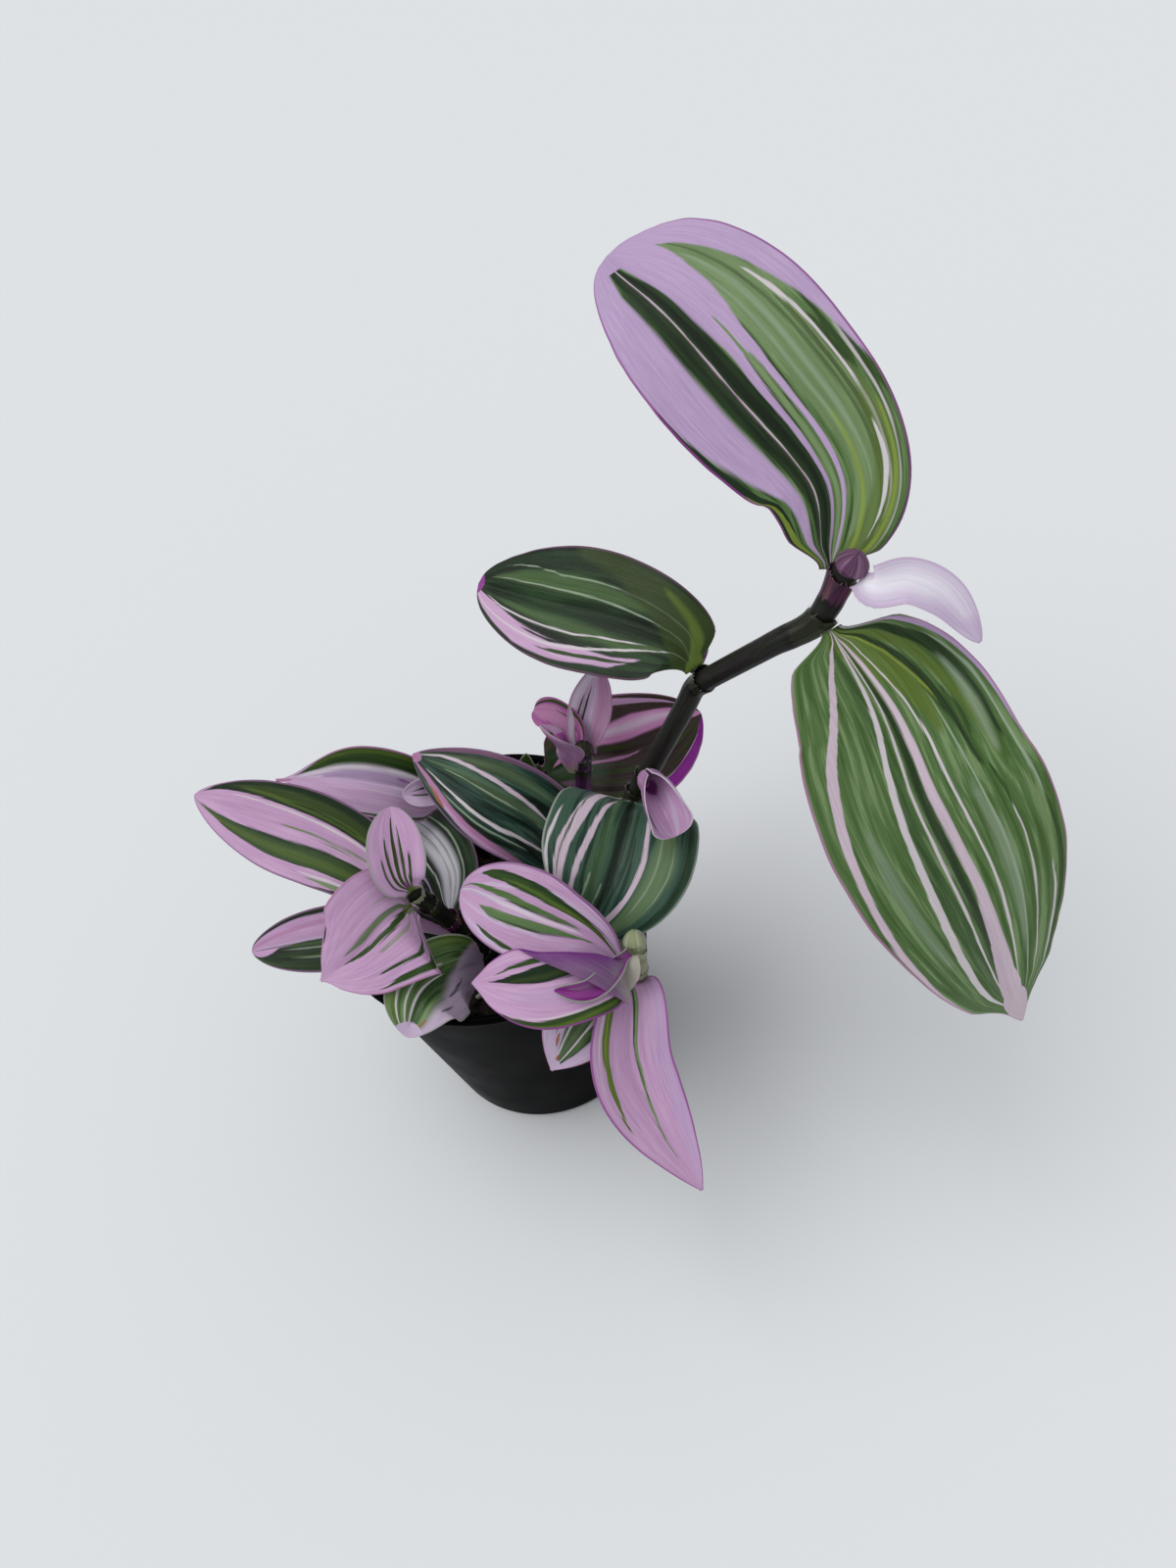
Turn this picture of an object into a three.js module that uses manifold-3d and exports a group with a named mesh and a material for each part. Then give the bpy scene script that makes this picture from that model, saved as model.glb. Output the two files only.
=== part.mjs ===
// Potted tradescantia: striped leaves on jointed shoots in a black nursery pot.
// Millimetres, +Z up. The origin is the centre of the pot's flat base.
import * as THREE from 'three';
import { mergeVertices } from 'three/addons/utils/BufferGeometryUtils.js';
import Module from 'manifold-3d';

const wasm = await Module();
wasm.setup();

// Pot
const potHeight = 84;
const rimRadius = 45;
const baseRadius = 33;
const potWall = 1.2;
const floorThickness = 2.2;
const lipRadius = 1.3;
const footChamfer = 2;
const potSides = 44;
const drainSlots = { count: 6, circleRadius: 24, length: 10, width: 4 };

// Soil
const soilTop = 72;
const grainCount = 12;

// Fits and thicknesses
const gap = 0.3;
const bladeThickness = 0.8;
const sheathWall = 1.2;
const rootDepth = 1.5;
const openingLength = 5;
const neckHalf = 2.6;
const tightestRoll = 1.2;
const closedRoll = 3;
const tightestCrease = 0.9;
const tipHalf = 0.35;
const creaseWidth = 0.15;
const bendSteps = 24;
const stemClear = 8;
const stemSides = 8;
const ringStep = 4;
const budRadius = 1.7;

// Each stem is a list of points from the buried end to its tip, with its radius at both ends.
const stems = {
  main_stem: {
    path: [[15, -14, 50], [21, -12, 72], [43, -11, 105], [61, -11, 131], [63.5, -11, 135], [65, -13, 138],
      [77, -28, 157], [86, -32, 163], [93, -32, 173], [94, -33, 176]],
    radius: [2.6, 2.9],
  },
  front_stem: {
    path: [[20, -25, 50], [24, -28, 72], [25.5, -30, 83], [26, -36, 89.5], [25.5, -44, 92], [24.6, -51, 93.5],
      [24.3, -54.5, 96.5], [25, -54, 101], [26.3, -51.5, 106.5]],
    radius: [2.6, 2.1],
  },
  left_stem: {
    path: [[-6, -16, 50], [-8, -17, 72], [-14, -14, 92], [-19.5, -13.2, 109], [-20.3, -12.9, 113]],
    radius: [2.6, 2.0],
  },
  rear_left_stem: {
    path: [[2, 14, 50], [2, 18, 72], [-1, 26, 95], [-4, 27, 101]],
    radius: [2.5, 2.0],
  },
  small_stem: {
    path: [[32, -4, 52], [32.5, -1, 72], [33, 4, 99], [35, 6, 105], [36, 7.5, 108]],
    radius: [2.5, 2.0],
  },
  back_stem: {
    path: [[22, 24, 52], [23, 26, 72], [24, 27, 87]],
    radius: [2.5, 2.1],
  },
};

// Each leaf grows from a sheath round its stem, from one distance along the stem to another.
// path: points of the midrib after the sheath's mouth, the last one being the leaf's tip.
// facing: where the upper face looks near the base and near the tip.
// outline: width, where along the leaf it is widest, how blunt its base and its tip are (0.5 is round),
// and how much it narrows just before its point.
// curl: degrees that the left and the right half bend up, each near the base and near the tip.
// fold: where a crease runs across the right half near the base and near the tip, and the degrees it turns.
// wider: how much wider the left and the right half are near the base.
// wave: height of the margin's ripple, how many there are, and their phase.
// grid: faces along the leaf and across each half.
// bud: points of a side bud that grows on its sheath.
// joins: the leaf that a small one is grown together with.
// finish: its colour where it isn't mostly green.
const toViewer = [-0.1, -0.65, 0.76];
const leaves = {
  leaf_main_crown: {
    stem: 'main_stem', sheath: [147, 153.8],
    path: [[98, -18, 185], [92, 4, 201], [85, 27, 212], [77, 45, 216]],
    facing: [[-0.2, -0.7, 0.7], [-0.1, -0.5, 0.85]],
    outline: [44, 0.56, 0.34, 0.5], curl: [[25, 12], [25, 12]], wave: [0.8, 1.5, 0], grid: [12, 3],
  },
  leaf_main_hanging: {
    stem: 'main_stem', sheath: [135, 144],
    path: [[90, -55, 153], [89, -72, 143], [92.5, -88, 124], [97, -103, 93]],
    facing: [[0.1, -0.5, 0.85], [0.1, -0.8, 0.6]],
    outline: [52, 0.45, 0.4, 0.7, 0.5], curl: [[20, 10], [20, 10]], wave: [0.8, 1.5, 1], grid: [12, 3],
  },
  leaf_main_young: {
    stem: 'main_stem', sheath: [156, 157.2],
    path: [[95, -40, 174], [101, -43, 175], [106.5, -48, 172], [110.5, -56, 164]],
    facing: [toViewer, toViewer],
    outline: [10, 0.42, 0.25, 0.6], curl: [[40, 25], [40, 25]], wave: [0, 1, 0], grid: [8, 2],
    finish: 'paleLeaf',
  },
  leaf_main_side: {
    stem: 'main_stem', sheath: [101, 105],
    path: [[63, -5, 145], [52, 9, 148], [40, 23, 148], [27, 41, 147]],
    facing: [toViewer, toViewer],
    outline: [31, 0.48, 0.4, 0.5], curl: [[15, 8], [15, 8]], wave: [0.5, 1.5, 2], grid: [10, 3],
    bud: [[64.5, -8.5, 138], [66.5, -8, 140.5], [69.5, -7.5, 143.5]],
  },
  leaf_main_round: {
    stem: 'main_stem', sheath: [61, 65],
    path: [[37, -23, 113], [27, -35, 109], [16, -41, 98]],
    facing: [[-0.1, -0.5, 0.85], [-0.2, -0.7, 0.65]],
    outline: [38, 0.45, 0.27, 0.6], curl: [[10, 15], [10, 15]], wave: [0.4, 1, 0], grid: [10, 3],
  },
  leaf_main_curl: {
    stem: 'main_stem', sheath: [69, 70.5],
    path: [[45.5, -24, 118.5], [45, -30.5, 119.8], [45, -36, 116]],
    facing: [[0, 0.53, 0.85], [-0.1, -0.65, 0.76]],
    outline: [22, 0.6, 0.5, 0.45], curl: [[310, 60], [310, 60]], wave: [0, 1, 0], grid: [9, 5],
    finish: 'pinkLeaf',
  },
  leaf_main_dark: {
    stem: 'main_stem', sheath: [31, 34],
    path: [[17, -5, 102], [8, 2, 112], [-6, 21, 118]],
    facing: [[-0.1, -0.7, 0.7], toViewer],
    outline: [25, 0.48, 0.5, 0.75], curl: [[15, 10], [15, 10]], wave: [0.4, 1, 0], grid: [9, 3],
  },
  leaf_front_left: {
    stem: 'front_stem', sheath: [63.8, 65.5],
    path: [[16.5, -47, 107.5], [6.5, -37, 111], [-7.5, -22.5, 112]],
    facing: [toViewer, toViewer],
    outline: [23, 0.62, 0.7, 0.5], curl: [[15, 10], [45, 25]], wave: [0.4, 1, 0], grid: [9, 3],
    finish: 'paleLeaf',
  },
  leaf_front_rolled: {
    stem: 'front_stem', sheath: [69, 71],
    path: [[14, -58, 110.5], [1, -55.5, 111], [-13, -46, 108]],
    facing: [toViewer, toViewer],
    outline: [21, 0.5, 0.22, 0.75, 0.2], curl: [[25, 15], [10, 10]], wave: [0.3, 1, 0], grid: [11, 7],
    fold: [-0.05, 1.45, 170], wider: [0, 0.5], finish: 'paleLeaf',
  },
  leaf_front_new: {
    stem: 'front_stem', sheath: [71.5, 73],
    path: [[11, -60, 108.5], [4, -58, 110.5]],
    facing: [toViewer, toViewer],
    outline: [7, 0.5, 0.6, 0.6], curl: [[80, 60], [80, 60]], wave: [0, 1, 0], grid: [6, 2],
    joins: 'leaf_front_rolled',
  },
  leaf_front_hanging: {
    stem: 'front_stem', sheath: [58.8, 61],
    path: [[20, -60.5, 96], [14, -72, 86], [18, -97, 65]],
    facing: [toViewer, toViewer],
    outline: [21, 0.45, 0.45, 0.85], curl: [[45, 35], [45, 35]], wave: [0.5, 1, 0], grid: [9, 3],
    finish: 'paleLeaf',
  },
  leaf_front_under: {
    stem: 'front_stem', sheath: [44, 46.5],
    path: [[14, -50, 87.5], [4, -57, 86], [-4, -59, 78]],
    facing: [toViewer, toViewer],
    outline: [20, 0.5, 0.6, 0.9], curl: [[15, 20], [15, 20]], wave: [0.3, 1, 0], grid: [8, 2],
    finish: 'paleLeaf',
  },
  leaf_left_far: {
    stem: 'left_stem', sheath: [49, 52],
    path: [[-33, 8, 109], [-48, 23, 113], [-65, 41, 115]],
    facing: [toViewer, toViewer],
    outline: [25, 0.5, 0.5, 0.7], curl: [[25, 25], [25, 25]], wave: [0.4, 1, 0], grid: [9, 2],
  },
  leaf_left_upright: {
    stem: 'left_stem', sheath: [62.3, 64],
    path: [[-19.5, -15.5, 116], [-18, -11.5, 122.5], [-15.2, -4.5, 130]],
    facing: [toViewer, toViewer],
    outline: [15, 0.52, 0.45, 0.5], curl: [[40, 30], [40, 30]], wave: [0, 1, 0], grid: [7, 2],
    joins: 'leaf_left_pale',
  },
  leaf_left_pale: {
    stem: 'left_stem', sheath: [56.5, 59],
    path: [[-26.8, -20, 108.8], [-36, -23.2, 105.8], [-48, -23, 101]],
    facing: [toViewer, toViewer],
    outline: [28, 0.42, 0.35, 0.9, 0.3], curl: [[15, 20], [15, 20]], wave: [0.4, 1, 0], grid: [9, 3],
    wider: [0.4, 0.05], finish: 'paleLeaf',
  },
  leaf_left_low: {
    stem: 'left_stem', sheath: [33.8, 36.5],
    path: [[-30, -8, 90], [-49, -1, 89], [-67, 7, 85]],
    facing: [toViewer, toViewer],
    outline: [18, 0.55, 0.5, 0.6], curl: [[25, 25], [25, 25]], wave: [0.4, 1, 0], grid: [8, 2],
  },
  leaf_left_grey: {
    stem: 'left_stem', sheath: [40, 43],
    path: [[-10, 6, 87], [-15, 26, 86], [-27, 38, 88.5]],
    facing: [[0, -0.5, 0.85], [0, -0.4, 0.9]],
    outline: [21, 0.5, 0.5, 0.7], curl: [[20, 20], [20, 20]], wave: [0.4, 1, 0], grid: [9, 2],
  },
  leaf_left_rim: {
    stem: 'left_stem', sheath: [24, 27],
    path: [[-19, -29.3, 89.8], [-26.6, -34.6, 93.6], [-33.6, -41.3, 90.4]],
    facing: [toViewer, toViewer],
    outline: [22.5, 0.6, 0.5, 0.65], curl: [[20, 20], [20, 20]], wave: [0.4, 1, 0], grid: [9, 3],
  },
  leaf_rear_left_long: {
    stem: 'rear_left_stem', sheath: [43, 46],
    path: [[-15, 28, 103], [-27, 34, 107], [-45, 47, 103]],
    facing: [toViewer, toViewer],
    outline: [20, 0.38, 0.5, 1.5], curl: [[25, 35], [25, 35]], wave: [0.4, 1, 0], grid: [9, 3],
    finish: 'paleLeaf',
  },
  leaf_rear_left_new: {
    stem: 'rear_left_stem', sheath: [51, 52.5],
    path: [[-8, 20, 104], [-13, 21, 105]],
    facing: [toViewer, toViewer],
    outline: [9, 0.5, 0.6, 0.6], curl: [[60, 40], [60, 40]], wave: [0, 1, 0], grid: [6, 2],
    joins: 'leaf_rear_left_long',
  },
  leaf_small_pink: {
    stem: 'small_stem', sheath: [54.5, 56],
    path: [[35, 12.5, 112.5], [32.5, 18, 114.5], [29, 24, 113.5]],
    facing: [toViewer, toViewer],
    outline: [11, 0.6, 0.5, 0.5], curl: [[60, 60], [60, 60]], wave: [0, 1, 0], grid: [6, 2],
    joins: 'leaf_small_tall',
  },
  leaf_small_tall: {
    stem: 'small_stem', sheath: [57, 58.2],
    path: [[38.5, 11, 111], [42, 14.2, 115.2], [45.2, 17.2, 119.3], [48.3, 19.8, 123.8]],
    facing: [toViewer, toViewer],
    outline: [12.5, 0.5, 0.5, 0.6], curl: [[40, 40], [40, 40]], wave: [0, 1, 0], grid: [7, 2],
    finish: 'pinkLeaf',
  },
  leaf_small_cup: {
    stem: 'small_stem', sheath: [51.5, 53.5],
    path: [[30.2, 8.6, 112.6], [28, 14.6, 116.6]],
    facing: [[0.38, 0.68, 0.63], [0.38, 0.4, 0.8]],
    outline: [12, 0.45, 0.5, 0.6], curl: [[60, 60], [60, 60]], wave: [0, 1, 0], grid: [8, 2],
    joins: 'leaf_small_tall',
  },
  leaf_back_wide: {
    stem: 'back_stem', sheath: [33, 35],
    path: [[37, 20.3, 91.3], [50.4, 12.6, 94.8], [72.8, 14.4, 96.5]],
    facing: [[-0.1, -0.6, 0.8], [-0.1, -0.6, 0.8]],
    outline: [34, 0.52, 0.5, 0.65], curl: [[15, 20], [5, 10]], wave: [0.4, 1, 0], grid: [10, 4],
    fold: [0.78, 0.68, 40],
  },
  leaf_back_tip: {
    stem: 'back_stem', sheath: [23.5, 25],
    path: [[21.8, 23, 93.5], [23, 23.7, 98.5]],
    facing: [toViewer, toViewer],
    outline: [8, 0.5, 0.6, 0.6], curl: [[30, 30], [30, 30]], wave: [0, 1, 0], grid: [6, 2],
  },
};

// Surface colours by kind of piece
const finishes = {
  pot: { color: 0x15161a, roughness: 0.45, metalness: 0 },
  soil: { color: 0x231b16, roughness: 0.95, metalness: 0 },
  stem: { color: 0x3d4a34, roughness: 0.5, metalness: 0 },
  greenLeaf: { color: 0x7d8f7a, roughness: 0.42, metalness: 0 },
  paleLeaf: { color: 0xb9a0b4, roughness: 0.42, metalness: 0 },
  pinkLeaf: { color: 0xb678b4, roughness: 0.42, metalness: 0 },
};

function solidFrom(geometry) {
  const bare = geometry.clone();
  bare.deleteAttribute('normal');
  bare.deleteAttribute('uv');
  const merged = mergeVertices(bare, 1e-4);
  return new wasm.Manifold(new wasm.Mesh({
    numProp: 3,
    vertProperties: new Float32Array(merged.attributes.position.array),
    triVerts: new Uint32Array(merged.index.array),
  }));
}

// The largest body of a solid as a geometry: a cut can leave a loose scrap behind
function geometryFrom(solid) {
  const bodies = solid.decompose().sort((a, b) => b.volume() - a.volume());
  const mesh = bodies[0].getMesh();
  const geometry = new THREE.BufferGeometry();
  geometry.setAttribute('position', new THREE.BufferAttribute(mesh.vertProperties, 3));
  geometry.setIndex(new THREE.BufferAttribute(mesh.triVerts, 1));
  return geometry;
}

function geometryOf(points, triangles) {
  const geometry = new THREE.BufferGeometry();
  geometry.setAttribute('position', new THREE.Float32BufferAttribute(points.flatMap((p) => p.toArray()), 3));
  geometry.setIndex(triangles);
  return geometry;
}

const mix = THREE.MathUtils.lerp;
const ease = THREE.MathUtils.smoothstep;
const vector = (xyz) => new THREE.Vector3(...xyz);

// Where a curve is, and where it heads, at a distance along it, going straight on past its ends
function placeOn(curve, distance) {
  const length = curve.getLength();
  const u = THREE.MathUtils.clamp(distance / length, 0, 1);
  const along = curve.getTangentAt(u);
  const centre = curve.getPointAt(u).addScaledVector(along, distance - u * length);
  return { along, centre };
}

// A closed round tube from distance a to b along a curve, its radius given by the distance.
// Its rings fall on whole steps of the curve, so two tubes on one curve bend alike.
function tube(curve, a, b, radiusAt) {
  const distances = [a];
  for (let d = Math.ceil((a + 1) / ringStep) * ringStep; d < b - 1; d += ringStep) {
    distances.push(d);
  }
  distances.push(b);
  const points = [];
  const reference = new THREE.Vector3(0, 1, 0);
  for (const distance of distances) {
    const { along, centre } = placeOn(curve, distance);
    const side = along.clone().cross(reference).normalize();
    const up = side.clone().cross(along);
    for (let j = 0; j < stemSides; j++) {
      const angle = 2 * Math.PI * j / stemSides;
      const r = radiusAt(distance);
      points.push(centre.clone().addScaledVector(side, r * Math.cos(angle))
        .addScaledVector(up, r * Math.sin(angle)));
    }
  }
  const triangles = [];
  const last = (distances.length - 1) * stemSides;
  for (let p = 0; p < last; p++) {
    const q = p % stemSides === stemSides - 1 ? p + 1 - stemSides : p + 1;
    triangles.push(p, p + stemSides, q, q, p + stemSides, q + stemSides);
  }
  for (let j = 1; j < stemSides - 1; j++) {
    triangles.push(0, j, j + 1, last, last + j + 1, last + j);
  }
  return geometryOf(points, triangles);
}

function curveOf(points) {
  return new THREE.CatmullRomCurve3(points, false, 'centripetal');
}

function stemCurve(name) {
  return curveOf(stems[name].path.map(vector));
}

function stemRadius(name, distance) {
  return mix(...stems[name].radius, distance / stemCurve(name).getLength());
}

// Half width of a leaf at s along it, from its neck at the sheath to its tip
function halfWidth(leaf, frame, s) {
  const [width, widest, baseBlunt, tipBlunt, narrowing = 0] = leaf.outline;
  const peak = Math.log(0.5) / Math.log(widest);
  const power = mix(baseBlunt, tipBlunt, ease(s, 0.3, 0.7));
  const outline = width / 2 * Math.sin(Math.PI * s ** peak) ** power * (1 - narrowing * ease(s, 0.88, 0.98));
  return Math.max(mix(frame.neckHalf, outline, ease(s, 0, frame.opened)), tipHalf);
}

// A point of the leaf's middle surface and the upper face's normal there:
// s runs along the leaf and u across it, from -1 to 1
function bladePoint(leaf, frame, s, u) {
  const wider = (leaf.wider ?? [0, 0])[u > 0 ? 1 : 0] * (1 - ease(s, 0.2, 0.6));
  const half = halfWidth(leaf, frame, s) * (1 + wider);
  const [near, far] = leaf.curl[u > 0 ? 1 : 0];
  const curl = Math.min(THREE.MathUtils.degToRad(mix(near, far, s)), half / tightestRoll, closedRoll);
  const [creaseNear, creaseFar, turn] = leaf.fold && u > 0 ? leaf.fold : [1, 1, 0];
  const crease = Math.max(mix(creaseNear, creaseFar, s), creaseWidth);
  const tightest = 2 * creaseWidth * half / tightestCrease;
  const fold = Math.min(THREE.MathUtils.degToRad(turn), tightest) * (1 - ease(s, 0.85, 0.97));
  const bendAt = (w) => curl * w + fold * ease(w, crease - creaseWidth, crease + creaseWidth);
  let across = 0;
  let lift = 0;
  for (let k = 0; k < bendSteps; k++) {
    const bend = bendAt(Math.abs(u) * (k + 0.5) / bendSteps);
    across += half * u * Math.cos(bend) / bendSteps;
    lift += half * Math.abs(u) * Math.sin(bend) / bendSteps;
  }
  const bend = bendAt(Math.abs(u));
  const [height, count, phase] = leaf.wave;
  const ripple = height * u * u * Math.sin(2 * Math.PI * count * s + phase + (u > 0 ? 0 : 1.6));
  const along = frame.curve.getTangentAt(s);
  const up = frame.facings[0].clone().lerp(frame.facings[1], s);
  up.addScaledVector(along, -up.dot(along)).normalize();
  const side = along.clone().cross(up);
  const rise = lift + ripple * ease(s, 0.1, 0.4) * (1 - ease(s, 0.85, 1));
  const point = frame.curve.getPointAt(s).addScaledVector(side, across).addScaledVector(up, rise);
  const normal = up.multiplyScalar(Math.cos(bend)).addScaledVector(side, -Math.sign(u) * Math.sin(bend));
  return { point, normal };
}

// The frame of a leaf: its midrib from inside the sheath's wall, and the size of its neck
function leafFrame(leaf) {
  const mouthDistance = leaf.sheath[1];
  const { along, centre } = placeOn(stemCurve(leaf.stem), mouthDistance - rootDepth);
  const outward = vector(leaf.path[0]).sub(centre);
  outward.addScaledVector(along, -outward.dot(along)).normalize();
  const root = centre.addScaledVector(outward, stemRadius(leaf.stem, mouthDistance) + gap + sheathWall / 2);
  const curve = curveOf([root, ...leaf.path.map(vector)]);
  return {
    curve,
    facings: leaf.facing.map((f) => vector(f).normalize()),
    neckHalf: Math.min(neckHalf, leaf.outline[0] / 4),
    opened: openingLength / curve.getLength(),
  };
}

// A thin blade with both faces split alike, closed round its edge
function bladeGeometry(leaf) {
  const frame = leafFrame(leaf);
  const [rows, halfColumns] = leaf.grid;
  const columns = halfColumns * 2;
  const top = [];
  const bottom = [];
  for (let i = 0; i <= rows; i++) {
    const t = i / rows;
    const s = mix(t, (1 - Math.cos(Math.PI * t)) / 2, 0.45);
    for (let j = 0; j <= columns; j++) {
      const { point, normal } = bladePoint(leaf, frame, s, j / halfColumns - 1);
      top.push(point.clone().addScaledVector(normal, bladeThickness / 2));
      bottom.push(point.clone().addScaledVector(normal, -bladeThickness / 2));
    }
  }
  const triangles = [];
  const width = columns + 1;
  const below = top.length;
  for (let i = 0; i < rows; i++) {
    for (let j = 0; j < columns; j++) {
      const p = i * width + j;
      const q = p + width;
      triangles.push(p, p + 1, q + 1, p, q + 1, q);
      triangles.push(below + p, below + q + 1, below + p + 1, below + p, below + q, below + q + 1);
    }
    const l = i * width;
    const r = l + columns;
    triangles.push(l, l + width, below + l + width, l, below + l + width, below + l);
    triangles.push(r, below + r + width, r + width, r, below + r, below + r + width);
  }
  const end = rows * width;
  for (let j = 0; j < columns; j++) {
    triangles.push(j, below + j, below + j + 1, j, below + j + 1, j + 1);
    triangles.push(end + j, end + j + 1, below + end + j + 1, end + j, below + end + j + 1, below + end + j);
  }
  return geometryOf([...top, ...bottom], triangles);
}

// A leaf: its blade joined to the sheath, with clear space for the stem through the sheath
function leafSolid(leaf) {
  const curve = stemCurve(leaf.stem);
  const [from, to] = leaf.sheath;
  const outer = tube(curve, from, to, (d) => stemRadius(leaf.stem, d) + gap + sheathWall);
  const inner = tube(curve, from - 2, to + stemClear, (d) => stemRadius(leaf.stem, d) + gap);
  let solid = solidFrom(outer).add(solidFrom(bladeGeometry(leaf)));
  if (leaf.bud) {
    const budCurve = curveOf(leaf.bud.map(vector));
    const length = budCurve.getLength();
    const bud = tube(budCurve, 0, length, (d) => budRadius * (1 - 0.8 * (d / length) ** 2));
    solid = solid.add(solidFrom(bud));
  }
  return solid.subtract(solidFrom(inner));
}

function stemGeometry(name) {
  const curve = stemCurve(name);
  const length = curve.getLength();
  return tube(curve, 0, length, (d) => stemRadius(name, d));
}

// The pot's outside radius at a height below the lip
function potRadius(z) {
  return mix(baseRadius, rimRadius - lipRadius, z / (potHeight - lipRadius));
}

function potGeometry() {
  const lipCentre = { r: rimRadius - lipRadius, z: potHeight - lipRadius };
  const outline = new THREE.Path();
  outline.moveTo(0, 0);
  outline.lineTo(baseRadius - footChamfer, 0);
  outline.lineTo(potRadius(footChamfer), footChamfer);
  outline.lineTo(potRadius(lipCentre.z - lipRadius), lipCentre.z - lipRadius);
  outline.absarc(lipCentre.r, lipCentre.z, lipRadius, -0.4 * Math.PI, 1.02 * Math.PI, false);
  outline.lineTo(potRadius(floorThickness) - potWall, floorThickness);
  outline.lineTo(0, floorThickness);
  const shell = new THREE.LatheGeometry(outline.getPoints(5), potSides).rotateX(Math.PI / 2);
  const slot = new THREE.Shape();
  const { count, circleRadius, length, width } = drainSlots;
  slot.absarc(circleRadius, (length - width) / 2, width / 2, 0, Math.PI, false);
  slot.absarc(circleRadius, -(length - width) / 2, width / 2, Math.PI, 2 * Math.PI, false);
  const cutter = new THREE.ExtrudeGeometry(slot, { depth: 10, bevelEnabled: false, curveSegments: 4 });
  cutter.translate(0, 0, -5);
  let pot = solidFrom(shell);
  for (let i = 0; i < count; i++) {
    pot = pot.subtract(solidFrom(cutter.clone().rotateZ(2 * Math.PI * i / count)));
  }
  return geometryFrom(pot);
}

// Small repeatable random numbers from 0 to 1
function randomFrom(seed) {
  let state = seed;
  return () => {
    state = (state * 1664525 + 1013904223) % 4294967296;
    return state / 4294967296;
  };
}

function soilHeight(x, y) {
  return soilTop + 0.8 * Math.sin(x * 0.21 + 1) * Math.cos(y * 0.17) + 0.5 * Math.sin(x * 0.5 + y * 0.43);
}

// The soil fills the pot: an uneven top with grains of perlite in it and a plain hole for each stem
function soilGeometry() {
  const bottom = floorThickness + gap;
  const edge = (z) => potRadius(z) - potWall - 2 * gap;
  const rings = [0, 8, 16, 24, 32].map((r) => new THREE.Vector2(r, soilTop));
  const outline = [...rings, new THREE.Vector2(edge(soilTop), soilTop), new THREE.Vector2(edge(bottom), bottom),
    new THREE.Vector2(0, bottom)].reverse();
  const body = new THREE.LatheGeometry(outline, potSides);
  const position = body.attributes.position;
  body.rotateX(Math.PI / 2);
  for (let i = 0; i < position.count; i++) {
    if (position.getZ(i) > soilTop - 1) {
      position.setZ(i, soilHeight(position.getX(i), position.getY(i)));
    }
  }
  let soil = solidFrom(body);
  const random = randomFrom(7);
  for (let i = 0; i < grainCount; i++) {
    const angle = 2 * Math.PI * random();
    const r = 38 * Math.sqrt(random());
    const size = mix(1, 1.7, random());
    const [x, y] = [r * Math.cos(angle), r * Math.sin(angle)];
    const grain = new THREE.IcosahedronGeometry(size, 0).rotateX(angle).translate(x, y, soilHeight(x, y));
    soil = soil.add(solidFrom(grain));
  }
  for (const name of Object.keys(stems)) {
    const curve = stemCurve(name);
    const radius = stems[name].radius[0] + gap;
    soil = soil.subtract(solidFrom(tube(curve, -gap, 45, () => radius)));
  }
  return geometryFrom(soil);
}

const plant = new THREE.Group();

function place(name, geometry, finish) {
  const mesh = new THREE.Mesh(geometry, new THREE.MeshStandardMaterial(finishes[finish]));
  mesh.name = name;
  plant.add(mesh);
}

place('pot', potGeometry(), 'pot');
place('soil', soilGeometry(), 'soil');
for (const name of Object.keys(stems)) {
  place(name, stemGeometry(name), 'stem');
}
for (const name of Object.keys(leaves).filter((key) => !leaves[key].joins)) {
  let leaf = leafSolid(leaves[name]);
  for (const small of Object.values(leaves).filter((other) => other.joins === name)) {
    leaf = leaf.add(leafSolid(small));
  }
  place(name, geometryFrom(leaf), leaves[name].finish ?? 'greenLeaf');
}

export default plant;
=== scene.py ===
import math

import bpy
import numpy as np
from mathutils import Matrix


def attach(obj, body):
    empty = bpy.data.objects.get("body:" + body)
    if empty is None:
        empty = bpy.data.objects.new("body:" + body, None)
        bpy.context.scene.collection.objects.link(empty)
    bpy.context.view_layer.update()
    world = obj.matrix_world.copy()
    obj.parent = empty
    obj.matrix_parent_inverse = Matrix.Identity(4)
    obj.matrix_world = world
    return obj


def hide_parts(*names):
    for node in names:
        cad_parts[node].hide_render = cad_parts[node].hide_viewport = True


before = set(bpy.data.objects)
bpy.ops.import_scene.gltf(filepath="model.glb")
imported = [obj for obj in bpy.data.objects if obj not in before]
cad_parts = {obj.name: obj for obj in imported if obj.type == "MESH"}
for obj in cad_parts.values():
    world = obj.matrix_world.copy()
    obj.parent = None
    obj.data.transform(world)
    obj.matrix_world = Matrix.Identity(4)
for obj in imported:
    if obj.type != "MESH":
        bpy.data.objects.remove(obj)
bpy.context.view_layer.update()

mm = 0.001
rng = np.random.default_rng(23)
print("frame loaded, nodes:", len(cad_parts))


# Small helpers
def linear(colour):
    parts = [int(colour[i:i + 2], 16) / 255 for i in (1, 3, 5)]
    return [c / 12.92 if c <= 0.04045 else ((c + 0.055) / 1.055) ** 2.4 for c in parts] + [1.0]


# Adds a node. An input is a value, a hex colour, a socket, or another node, whose main output is linked.
def addNode(tree, kind, inputs=None, **settings):
    node = tree.nodes.new("ShaderNode" + kind)
    for name, value in settings.items():
        setattr(node, name, value)
    for key, value in (inputs or {}).items():
        if isinstance(value, bpy.types.Node):
            value = value.outputs[2 if value.bl_idname == "ShaderNodeMix" else 0]
        if isinstance(value, str):
            value = linear(value)
        if isinstance(value, bpy.types.NodeSocket):
            tree.links.new(value, node.inputs[key])
        else:
            node.inputs[key].default_value = value
    return node


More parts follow.
